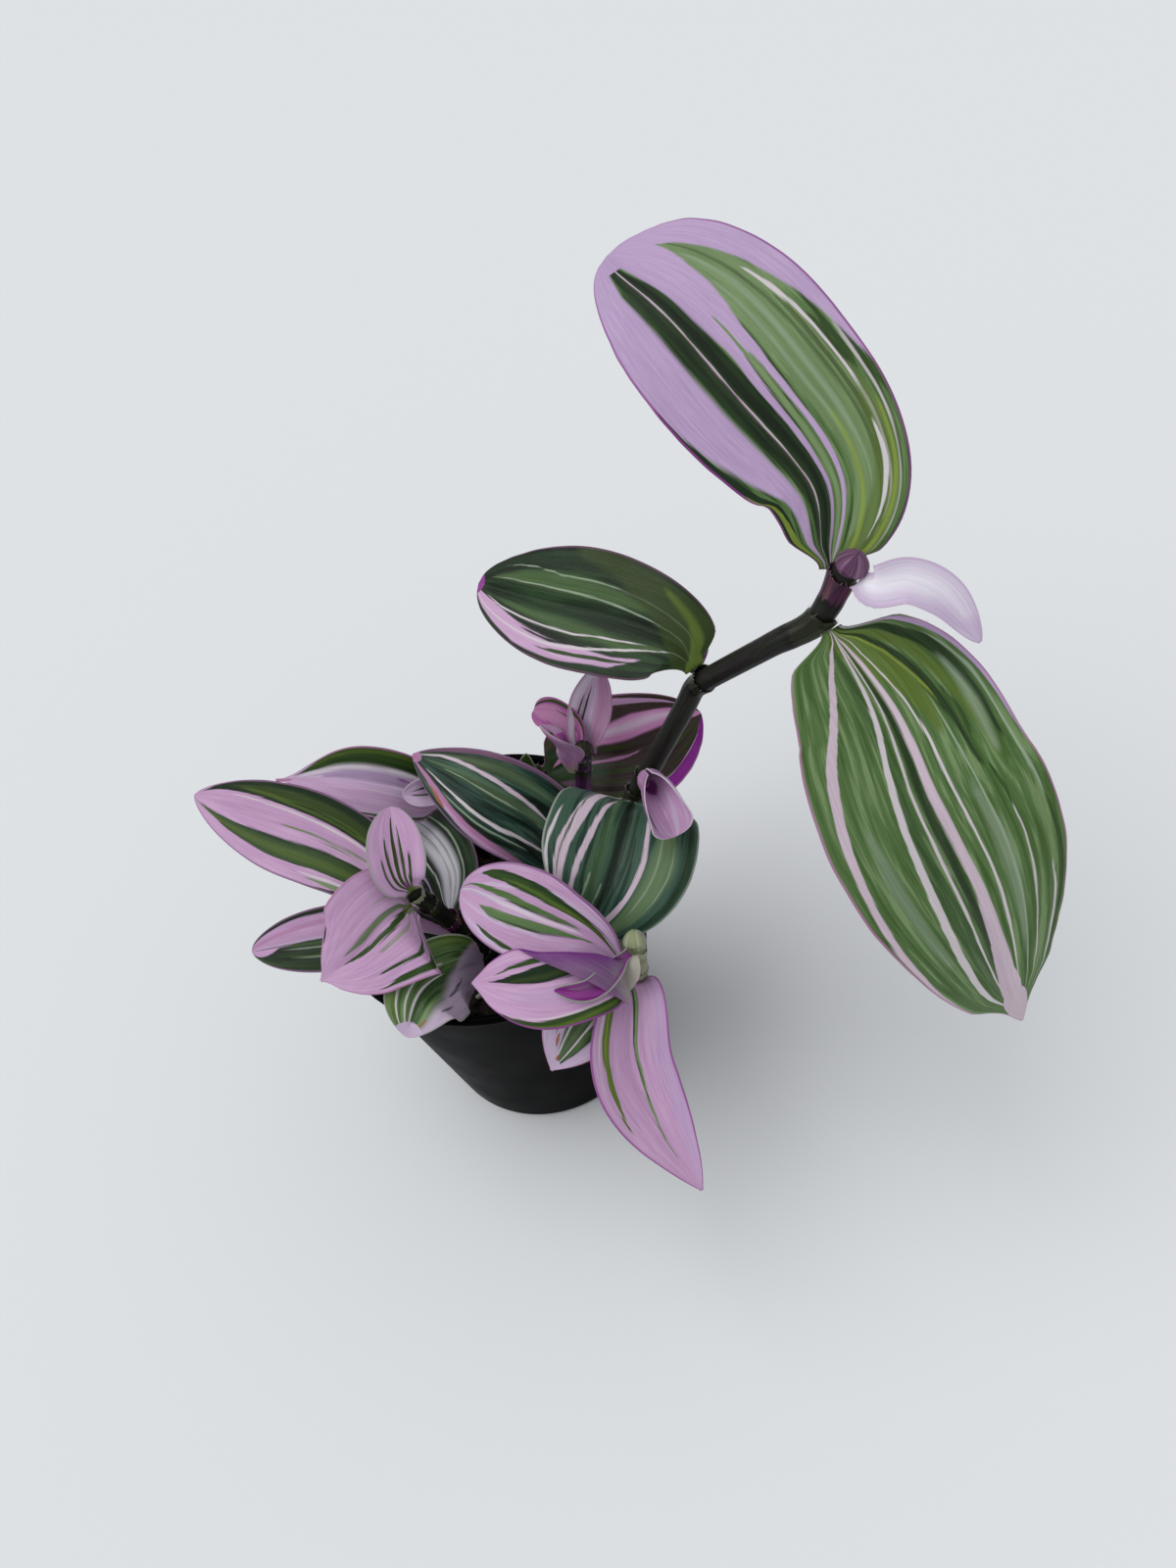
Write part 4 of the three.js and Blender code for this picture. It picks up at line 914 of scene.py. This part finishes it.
# Its pattern, as repeats round the shoot and for each mm along it: streaks of 0.7 by 8 mm, flushes of 6 by
# 17 mm
fleshy = {"streaks": (24, 0.12), "flushes": (3, 0.06), "highAt": (0.35, 0.68), "flushAt": (0.45, 0.62, 0.7),
          "bump": 0.5, "bumpHeight": 0.3, "roughness": 0.42, "ior": 1.42, "shine": 0.3, "subsurface": 0.1}


def stemSkin(name):
    look = stemSkins[name]
    material, tree = newMaterial("Fleshy shoot skin " + name)
    uv = addNode(tree, "UVMap", uv_map="skin")
    streaks = drawnNoise(tree, uv, fleshy["streaks"], 3)
    patches = drawnNoise(tree, uv, fleshy["flushes"], 2)
    colour = tint(tree, look["low"], look["high"], streaks, *fleshy["highAt"])
    colour = tint(tree, colour, look["flush"], patches, *fleshy["flushAt"])
    joint = addNode(tree, "Attribute", attribute_name="joint").outputs[2]  # dark at each joint of the shoot
    ringed = addNode(tree, "Mix", {0: joint, 6: colour, 7: look["ring"]}, data_type="RGBA")
    bump = addNode(tree, "Bump", {"Strength": fleshy["bump"], "Distance": fleshy["bumpHeight"] * mm,
                                  "Height": streaks})
    skin = addNode(tree, "BsdfPrincipled", {
        "Base Color": ringed, "Roughness": fleshy["roughness"], "IOR": fleshy["ior"],
        "Specular IOR Level": fleshy["shine"], "Subsurface Weight": fleshy["subsurface"],
        "Subsurface Radius": (1.0, 0.8, 0.4), "Subsurface Scale": 0.8 * mm, "Normal": bump})
    addNode(tree, "OutputMaterial", {"Surface": skin})
    return material


undersides = {name: undersideOf(name) for name in underSkins}
shootSkins = {name: stemSkin(name) for name in stemSkins}
print("leaf and shoot skins made")


# Leaves
# A ring of points round a curve at given distances; radius may differ for each point
def tubePoints(curve, distances, radius, sides):
    centre, along = curveAt(curve, distances)
    side, up = squareTo(along)
    angle = turnAngles(sides)
    wheel = side[:, None] * np.cos(angle)[None, :, None] + up[:, None] * np.sin(angle)[None, :, None]
    return centre[:, None] + wheel * np.broadcast_to(radius, (len(centre), sides))[..., None]


# rows and columns of a half for a leaf wider than "bigFrom" and for a small one; thickness at the middle and
# what it loses at the edge, in mm
blade = {"bigFrom": 15, "bigGrid": (88, 22), "smallGrid": (44, 12), "thickness": 0.56, "thinner": 0.26}


# One blade: upper face, half-round rim, lower face, as one closed ring of points for each row
def addBlade(skin, leaf, shape, seed):
    rows, columns = blade["bigGrid"] if leaf["outline"][0] > blade["bigFrom"] else blade["smallGrid"]
    t = np.linspace(0, 1, rows + 1)
    s = 0.55 * t + 0.45 * (1 - np.cos(np.pi * t)) / 2  # rows lie closer at the base and the tip
    v = np.linspace(-1, 1, 2 * columns + 1)
    u = np.sign(v) * (1 - (1 - np.abs(v)) ** 1.25)  # and columns at the margin
    points, normals = bladeSurface(leaf, shape, s, u, seed)
    thick = (blade["thickness"] - blade["thinner"] * np.abs(u) ** 3) * ease(s, -0.02, 0.02)[:, None] / 2
    top = points + normals * thick[..., None]
    bottom = points - normals * thick[..., None]
    outward = unit(points[:, [0, -1]] - points[:, [1, -2]])
    rims = points[:, [0, -1]] + outward * thick[:, [0, -1], None]
    ring = np.concatenate([top, rims[:, 1:], bottom[:, ::-1], rims[:, :1]], axis=1)
    across = (np.concatenate([u, [1], u[::-1], [-1]]) + 1) / 2
    slots = [0] * (len(u) + 1) + [1] * (len(u) - 1) + [0, 0]
    addGrid(skin, ring, spread(across[None, :], s[:, None]), slots, closed=True, capped=0)
    return points, s, u


# Sheaths, in mm. back: how high the side away from the leaf reaches, as a share. foot: room at its foot.
# flare: how far the mouth stands off, away from the leaf and what its own side adds. The cap ends past the
# shoot's end and past the mouth by at least the two lengths given.
clasp = {"sides": 28, "rows": 9, "wall": 0.22, "back": 0.82, "ragged": 0.25, "foot": 0.1, "flare": (0.2, 0.8),
         "flarePower": 1.8, "capRows": 10, "capPastShoot": 0.6, "capPastMouth": 3.2, "capPower": 1.15}


# The sheath clasps the shoot: tight at its foot, a thin funnel at its mouth, longest on the leaf's side
def addSheath(skin, leaf, shape, seed):
    stem = stems[leaf["stem"]]
    curve = curveThrough(stem["path"])
    foot, mouth = leaf["sheath"]
    sides = clasp["sides"]
    t = np.linspace(0, 1, clasp["rows"])[:, None]
    along = curveAt(curve, mouth)[1][0]
    side, up = squareTo(along)
    towards = math.atan2(shape["outward"] @ up, shape["outward"] @ side)
    angle = turnAngles(sides)[None, :]
    facing = 0.5 + 0.5 * np.cos(angle - towards)
    top = mouth - foot + clasp["ragged"] * waver(angle * 3, seed)
    reach = foot + t * top * (clasp["back"] + (1 - clasp["back"]) * facing)
    away, own = clasp["flare"]
    radius = stemRadius(stem, curve, foot) + clasp["foot"] + (away + own * facing) * t ** clasp["flarePower"]
    if leaf.get("cap"):  # it closes like a bud over the end of the shoot
        turn = np.linspace(0, np.pi / 2, clasp["capRows"])[1:, None]
        end = max(curve["length"] + clasp["capPastShoot"], mouth + clasp["capPastMouth"])
        reach = np.vstack([reach, reach[-1] + (end - reach[-1]) * np.sin(turn)])
        radius = np.vstack([radius, radius[-1] * np.cos(turn) ** clasp["capPower"]])
    rings = []
    for offset in (0, -clasp["wall"]):
        layer = []
        for j in range(sides):
            point, ahead = curveAt(curve, reach[:, j])
            side, up = squareTo(ahead)
            a = angle[0, j]
            stand = np.maximum(radius[:, j:j + 1] + offset, 0.02)
            layer.append(point + (side * np.cos(a) + up * np.sin(a)) * stand)
        rings.append(np.stack(layer, axis=1))
    shell = np.concatenate([rings[0], rings[1][::-1]], axis=0)
    rows = shell.shape[0]
    uvs = spread(angle / (2 * np.pi), np.linspace(0, 6, rows)[:, None])
    start = addGrid(skin, shell, uvs, 2, closed=True)
    last = start + (rows - 1) * sides
    for j in range(sides):  # close the foot between the outer and the inner skin
        k = (j + 1) % sides
        skin["faces"].append((start + k, start + j, last + j, last + k))
        skin["slots"].append(2)
    return rings[0][clasp["rows"] - 1], along


# A hair: a thin three-sided spike
def addHair(skin, root, tip, radius, slot):
    ahead = unit(tip - root)
    side = unit(np.cross(ahead, [0.3, 0.5, 0.8]))
    up = np.cross(ahead, side)
    start = len(skin["points"])
    for k in range(3):
        a = 2 * math.pi * k / 3
        skin["points"].append((root + (side * math.cos(a) + up * math.sin(a)) * radius).tolist())
    skin["points"].append(tip.tolist())
    skin["uvs"].extend([[0.5, 0.5]] * 4)
    for k in range(3):
        skin["faces"].append((start + k, start + (k + 1) % 3, start + 3))
        skin["slots"].append(slot)
    addCap(skin, [start + 2, start + 1, start], slot)


# Leaf hairs: fine and colourless. The eye sees a faint pale fringe at each sheath's mouth and leaf's base.
# base: where they stand along a leaf. lean: how far they stray at the sheath and at the base. atSheath and
# atBase: the shares of the full length there.
hair = {"length": 1.3, "radius": 0.035, "colour": "#d9d2d4", "perSheath": 26, "perBase": 16,
        "base": (0.02, 0.16), "lean": (0.5, 0.4), "atSheath": (0.5, 1), "atBase": (0.4, 0.9)}
hairSkin, tree = newMaterial("Fine pale hair")
shade = addNode(tree, "BsdfPrincipled", {"Base Color": hair["colour"], "Roughness": 0.5, "IOR": 1.45})
addNode(tree, "OutputMaterial", {"Surface": shade})

bud = {"radius": 1.75, "least": 0.12, "rows": 25, "sides": 20, "ribs": 4, "ribHeight": 0.05, "reach": 0.98}


# A small bud beside a leaf: fat at its foot, pointed, with four faint ribs
def addBud(skin, path):
    curve = curveThrough(path)
    sides = bud["sides"]
    t = np.linspace(0, 1, bud["rows"])
    ribs = 1 + bud["ribHeight"] * np.cos(turnAngles(sides) * bud["ribs"])
    swell = bud["radius"] * np.sqrt(np.clip(1 - t ** 3, 0, 1))[:, None] * ribs
    reach = t * curve["length"] * bud["reach"]
    points = tubePoints(curve, reach, np.maximum(swell, bud["least"]), sides)
    addGrid(skin, points, spread(np.linspace(0, 1, sides)[None, :], t[:, None]), 1, closed=True, capped=1)


for seed, (name, leaf) in enumerate(leaves.items()):
    shape = leafFrame(leaf)
    skin = newSkin()
    points, s, u = addBlade(skin, leaf, shape, seed)
    mouth, along = addSheath(skin, leaf, shape, seed)
    for k in range(hair["perSheath"]):
        root = mouth[int(rng.integers(len(mouth)))]
        away = along + hair["lean"][0] * rng.normal(size=3)
        tip = root + unit(away) * hair["length"] * rng.uniform(*hair["atSheath"])
        addHair(skin, root, tip, hair["radius"], 3)
    for k in range(hair["perBase"]):
        i = int(np.searchsorted(s, rng.uniform(*hair["base"])))
        j = 0 if rng.random() < 0.5 else len(u) - 1
        root = points[i, j]
        away = unit(points[i, j] - points[i, 1 if j == 0 else -2]) + hair["lean"][1] * rng.normal(size=3)
        tip = root + unit(away) * hair["length"] * rng.uniform(*hair["atBase"])
        addHair(skin, root, tip, hair["radius"], 3)
    if "bud" in leaf:
        addBud(skin, leaf["bud"])
    under = undersides[leaf.get("under", "Purple leaf underside")]
    sheathSkin = shootSkins[leaf.get("sheathSkin", "darkSheath")]
    top = stripedLeaf(name.replace("leaf_", "").replace("_", " "), leaf, shape["curve"]["length"], seed)
    node = leaf.get("joins", name)
    buildObject("fine_" + name, skin, [top, under, sheathSkin, hairSkin], node)
print("leaves made:", len(leaves))


# Stems: ribbed, a little swollen at each joint, with the joint darker. ribs: height, count and start. under:
# how much thinner they are than the solids. rounding: the length at the tip that rounds off.
shoot = {"sides": 32, "step": 0.8, "ribs": ((0.05, 11, 0), (0.04, 17, 1)), "under": 0.1, "swell": 0.22,
         "swellLength": 3, "ringLength": 0.9, "ringDark": 0.85, "rounding": 3}


def nearJoints(distance, joints, length):
    total = sum((np.exp(-((distance - joint) / length) ** 2) for joint in joints), np.zeros(len(distance)))
    return np.minimum(total, 1)


for name, stem in stems.items():
    curve = curveThrough(stem["path"])
    joints = [leaf["sheath"][0] for leaf in leaves.values() if leaf["stem"] == name]
    sides = shoot["sides"]
    distance = np.arange(0, curve["length"] + shoot["step"] / 2, shoot["step"])
    distance[-1] = curve["length"]
    angle = turnAngles(sides)
    ribs = sum(height * np.cos(angle * count + start) for height, count, start in shoot["ribs"])[None, :]
    ring = nearJoints(distance, joints, shoot["ringLength"]) * shoot["ringDark"]
    swell = nearJoints(distance, joints, shoot["swellLength"]) * shoot["swell"]
    radius = stemRadius(stem, curve, distance) - shoot["under"] + swell
    past = ((distance - curve["length"] + shoot["rounding"]) / shoot["rounding"]).clip(0, 1)
    rounded = np.sqrt(np.clip(1 - past ** 2, 0.02, 1))
    points = tubePoints(curve, distance, (radius[:, None] + ribs) * rounded[:, None], sides)
    skin = newSkin()
    addGrid(skin, points, spread((angle / (2 * np.pi))[None, :], distance[:, None]), 0, closed=True, capped=0)
    piece = buildObject("fine_" + name, skin, [shootSkins[stem["skin"]]], name)
    mark = piece.data.attributes.new("joint", "FLOAT", "POINT")
    mark.data.foreach_set("value", np.repeat(ring, sides).astype(np.float32))
print("stems made:", len(stems))


# Pot: blow-thin moulded polypropylene
pot = {"height": 84, "rim": 45, "base": 33, "wall": 1.2, "floor": 2.2, "lip": 1.3, "foot": 2, "sides": 144,
       "slots": 6, "slotCircle": 24, "slotLength": 10, "slotWidth": 4, "colour": "#030304", "dust": "#0d0e11",
       "dustAt": (0.5, 0.75, 0.25), "peel": 1400, "flow": 45, "bump": 0.12, "bumpHeight": 0.15,
       "roughness": (0.34, 0.5), "ior": 1.25, "shine": 0.05}

# Moulded polypropylene: satin black. The eye sees a soft cool highlight on the lip and faint moulding marks.
potSkin, tree = newMaterial("Moulded black polypropylene")
where = addNode(tree, "TexCoord").outputs[3]
peel = addNode(tree, "TexNoise", {"Vector": where, "Scale": pot["peel"], "Detail": 2})  # pits of 0.7 mm
flow = addNode(tree, "TexNoise", {"Vector": where, "Scale": pot["flow"], "Detail": 3})  # marks of 22 mm
dull = addNode(tree, "MapRange", {0: flow, 1: 0.3, 2: 0.7, 3: pot["roughness"][0], 4: pot["roughness"][1]})
body = tint(tree, pot["colour"], pot["dust"], flow, *pot["dustAt"])
bump = addNode(tree, "Bump", {"Strength": pot["bump"], "Distance": pot["bumpHeight"] * mm, "Height": peel})
shade = addNode(tree, "BsdfPrincipled", {"Base Color": body, "Roughness": dull, "IOR": pot["ior"],
                                         "Specular IOR Level": pot["shine"], "Normal": bump})
addNode(tree, "OutputMaterial", {"Surface": shade})


def potRadius(z):
    return pot["base"] + (pot["rim"] - pot["lip"] - pot["base"]) * z / (pot["height"] - pot["lip"])


# Its profile as (radius, height), from the middle of the underside round to the middle of the floor
lipR, lipZ = pot["rim"] - pot["lip"], pot["height"] - pot["lip"]
footR = pot["base"] - pot["foot"]
profile = [(0.01, 0), (10, 0), (20, 0), (28, 0), (footR, 0)]
for a in np.linspace(0.15, 1, 6):  # rounded foot
    profile.append((footR + (potRadius(pot["foot"]) - footR) * math.sin(a * math.pi / 2),
                    pot["foot"] * (1 - math.cos(a * math.pi / 2))))
for z in np.linspace(6, lipZ - pot["lip"] - 1.5, 22):
    profile.append((potRadius(z), z))
profile.append((potRadius(lipZ - pot["lip"]), lipZ - pot["lip"] - 0.4))
for a in np.linspace(-0.4, 1.02, 18) * math.pi:  # rolled lip
    profile.append((lipR + pot["lip"] * math.cos(a), lipZ + pot["lip"] * math.sin(a)))
for z in np.linspace(lipZ - 3, pot["floor"] + 0.6, 20):
    profile.append((potRadius(z) - pot["wall"], z))
for r in (potRadius(pot["floor"]) - pot["wall"] - 0.6, 20, 10, 0.01):
    profile.append((r, pot["floor"]))
profile = np.array(profile)
angle = turnAngles(pot["sides"])
wheel = np.stack(np.broadcast_arrays(profile[:, :1] * np.cos(angle), profile[:, :1] * np.sin(angle),
                                     profile[:, 1:]), -1)
skin = newSkin()
addGrid(skin, wheel, spread((angle / (2 * np.pi))[None, :], profile[:, 1:] / pot["height"]), 0, closed=True)
potPiece = buildObject("fine_pot", skin, [potSkin], "pot")

cutSkin = newSkin()  # drain slots, cut through the floor
run, half = (pot["slotLength"] - pot["slotWidth"]) / 2, pot["slotWidth"] / 2
ends = [(half * math.cos(a), run + half * math.sin(a)) for a in np.linspace(0, math.pi, 9)]
ends += [(-x, -y) for x, y in ends]
for k in range(pot["slots"]):
    turn = 2 * math.pi * k / pot["slots"]
    cos, sin = math.cos(turn), math.sin(turn)
    slot = np.array([[((x + pot["slotCircle"]) * cos - y * sin, (x + pot["slotCircle"]) * sin + y * cos, z)
                      for x, y in ends] for z in (-5, 5)])
    addGrid(cutSkin, slot, np.zeros((2, len(ends), 2)), 0, closed=True, capped=0)
cutter = addPiece("slotCutter", meshOf("slotCutter", cutSkin))
cut = potPiece.modifiers.new("slots", "BOOLEAN")
cut.operation, cut.solver, cut.object = "DIFFERENCE", "EXACT", cutter
bpy.context.view_layer.update()
evaluated = potPiece.evaluated_get(bpy.context.evaluated_depsgraph_get())
cutResult = bpy.data.meshes.new_from_object(evaluated)
potPiece.modifiers.remove(cut)
potPiece.data = cutResult
bpy.data.objects.remove(cutter)
print("pot made, faces:", len(potPiece.data.polygons))


# Soil: damp peat with perlite, in mm. gaps: to the pot at its top and bottom. crumbSize: the least, and what
# is added at most. keepIn: how far crumbs and fibres stay from the edge. stretch and knobs: how far a lump and
# its corners are pulled out of shape.
soil = {"top": 72, "bottom": 2.5, "gaps": (0.15, 0.6), "rings": 46, "sideRings": 6, "sides": 120,
        "crumbs": 1500, "crumbSize": (0.35, 1.0), "perlite": 34, "perliteSize": (0.7, 1.5), "lift": 0.3,
        "stretch": (0.6, 1.2), "knobs": (0.75, 1.2), "fibres": 60, "fibreRadius": 0.12, "fibreHalf": (2, 4.5),
        "fibreLift": 0.5, "keepIn": (1.6, 6)}

# Damp peat: matt and crumbly. The eye sees near-black lumps with a few lighter fibres.
# Perlite: popped volcanic glass. The eye sees chalky white crumbs.
crumbly = {  # scale: lumps of 2 mm and pits of 0.7 mm
    "Damp peat": {"dark": "#0d0907", "light": "#2e2119", "scale": 500, "detail": 5, "noise": 0.65,
                  "pale": 0.7, "bump": 0.9, "height": 0.6, "roughness": 0.9, "ior": 1.45},
    "Chalky perlite": {"dark": "#a39c90", "light": "#d8d4cc", "scale": 1500, "detail": 4, "noise": 0.5,
                       "pale": 0.6, "bump": 0.8, "height": 0.3, "roughness": 0.85, "ior": 1.5},
}
soilSkins = []
for name, look in crumbly.items():
    material, tree = newMaterial(name)
    where = addNode(tree, "TexCoord").outputs[3]
    lumps = addNode(tree, "TexNoise", {"Vector": where, "Scale": look["scale"], "Detail": look["detail"],
                                       "Roughness": look["noise"]})
    body = tint(tree, look["dark"], look["light"], lumps, 0.35, look["pale"])
    bump = addNode(tree, "Bump", {"Strength": look["bump"], "Distance": look["height"] * mm, "Height": lumps})
    shade = addNode(tree, "BsdfPrincipled", {"Base Color": body, "Roughness": look["roughness"],
                                             "IOR": look["ior"], "Normal": bump})
    addNode(tree, "OutputMaterial", {"Surface": shade})
    soilSkins.append(material)


def soilHeight(x, y):
    broad = 0.8 * np.sin(x * 0.21 + 1) * np.cos(y * 0.17) + 0.5 * np.sin(x * 0.5 + y * 0.43)
    fine = 0.35 * np.sin(x * 1.3 + 2 * np.sin(y * 0.9)) + 0.25 * np.sin(y * 1.7 + 1.5 * np.sin(x * 1.1))
    return soil["top"] + broad + fine


skin = newSkin()
edgeTop = potRadius(soil["top"]) - pot["wall"] - soil["gaps"][0]
edgeLow = potRadius(soil["bottom"]) - pot["wall"] - soil["gaps"][1]
radii = np.concatenate([np.linspace(0.2, edgeTop, soil["rings"]),
                        np.linspace(edgeTop, edgeLow, soil["sideRings"])[1:], [0.2]])
angle = turnAngles(soil["sides"])
x, y = radii[:, None] * np.cos(angle), radii[:, None] * np.sin(angle)
z = soilHeight(x, y)
z[soil["rings"]:-1] = np.linspace(soil["top"], soil["bottom"], soil["sideRings"])[1:, None]
z[-1] = soil["bottom"]
across = 2 * pot["rim"]
uvs = np.stack([x / across + 0.5, y / across + 0.5], -1)
addGrid(skin, np.stack([x, y, z], -1), uvs, 0, closed=True, capped=0)

golden = (1 + 5 ** 0.5) / 2  # lumps are icosahedra pulled out of shape
signs = [(a, b * golden) for a in (-1, 1) for b in (-1, 1)]
corners = unit(np.array([[0, a, b] for a, b in signs] + [[a, b, 0] for a, b in signs]
                        + [[b, 0, a] for a, b in signs], float))
lumpFaces = []
for f in ((i, j, k) for i in range(12) for j in range(i + 1, 12) for k in range(j + 1, 12)):
    p, q, r = corners[list(f)]
    if max(np.linalg.norm(p - q), np.linalg.norm(q - r), np.linalg.norm(p - r)) < 1.1:
        lumpFaces.append(f if np.dot(np.cross(q - p, r - p), p) > 0 else (f[0], f[2], f[1]))


def addLump(skin, centre, size, slot):
    start = len(skin["points"])
    stretch = rng.uniform(*soil["stretch"], 3)
    for corner in corners:
        skin["points"].append((centre + corner * stretch * size * rng.uniform(*soil["knobs"])).tolist())
        skin["uvs"].append([0, 0])
    for face in lumpFaces:
        skin["faces"].append(tuple(start + c for c in face))
        skin["slots"].append(slot)


least, more = soil["crumbSize"]
for k in range(soil["crumbs"] + soil["perlite"]):
    white = k >= soil["crumbs"]
    a, r = rng.uniform(0, 2 * math.pi), (edgeTop - soil["keepIn"][0]) * math.sqrt(rng.random())
    size = rng.uniform(*soil["perliteSize"]) if white else least + more * rng.random() ** 2
    px, py = r * math.cos(a), r * math.sin(a)
    addLump(skin, np.array([px, py, soilHeight(px, py) + soil["lift"] * size]), size, 1 if white else 0)
for k in range(soil["fibres"]):
    a, r = rng.uniform(0, 2 * math.pi), (edgeTop - soil["keepIn"][1]) * math.sqrt(rng.random())
    turn = rng.uniform(0, math.pi)
    px, py = r * math.cos(a), r * math.sin(a)
    run = rng.uniform(*soil["fibreHalf"])
    ends = [np.array([px + t * run * math.cos(turn), py + t * run * math.sin(turn), 0]) for t in (-1, 0, 1)]
    for e in ends:
        e[2] = soilHeight(e[0], e[1]) + soil["fibreLift"]
    thread = tubePoints(curveThrough(ends), np.linspace(0, 2 * run, 8), soil["fibreRadius"], 5)
    addGrid(skin, thread, np.zeros((8, 5, 2)), 0, closed=True)
buildObject("fine_soil", skin, soilSkins, "soil")
print("soil made")


# Studio: pale floor, soft light, camera
studio = {"floor": "#e7e9ea", "floorHalf": 3000, "sky": "#eceff3", "skyStrength": 0.62, "sun": 1.4,
          "sunAngle": 55, "sunFrom": (-0.5, 0.15, 1.0)}
view = {"at": (0, -0.20087, 0.34203), "lens": 27, "right": (0.91735, -0.35876, -0.17249),
        "up": (0.38317, 0.67835, 0.62691), "back": (-0.10790, -0.64119, 0.75976)}


def turned(right, up, back, at=(0, 0, 0)):
    return Matrix([list(row) for row in zip(right, up, back, at)] + [[0, 0, 0, 1]])


h = studio["floorHalf"]
floorSheet = {"points": [(-h, -h, 0), (h, -h, 0), (h, h, 0), (-h, h, 0)], "faces": [(0, 1, 2, 3)]}
floorMesh = meshOf("floor", floorSheet)
floorPiece = addPiece("floor", floorMesh)
floorSkin, tree = newMaterial("Matt pale floor paint")
shade = addNode(tree, "BsdfPrincipled", {"Base Color": studio["floor"], "Roughness": 0.9, "IOR": 1.45})
addNode(tree, "OutputMaterial", {"Surface": shade})
floorMesh.materials.append(floorSkin)

world = bpy.data.worlds.new("soft studio")
bpy.context.scene.world = world
world.use_nodes = True
sky = world.node_tree.nodes["Background"]
sky.inputs[0].default_value = linear(studio["sky"])
sky.inputs[1].default_value = studio["skyStrength"]
window = bpy.data.lights.new("window light", "SUN")
window.energy, window.angle = studio["sun"], math.radians(studio["sunAngle"])
back = unit(np.array(studio["sunFrom"]))
right = unit(np.cross([0, 1, 0], back))
addPiece("window light", window).matrix_world = turned(right, np.cross(back, right), back)

camera = addPiece("camera", bpy.data.cameras.new("camera"))
camera.data.lens = view["lens"]
camera.matrix_world = turned(view["right"], view["up"], view["back"], view["at"])
bpy.context.scene.camera = camera
bpy.context.scene.view_settings.view_transform = "Standard"  # colours come out as the hex values say
print("studio set")

bpy.context.view_layer.update()
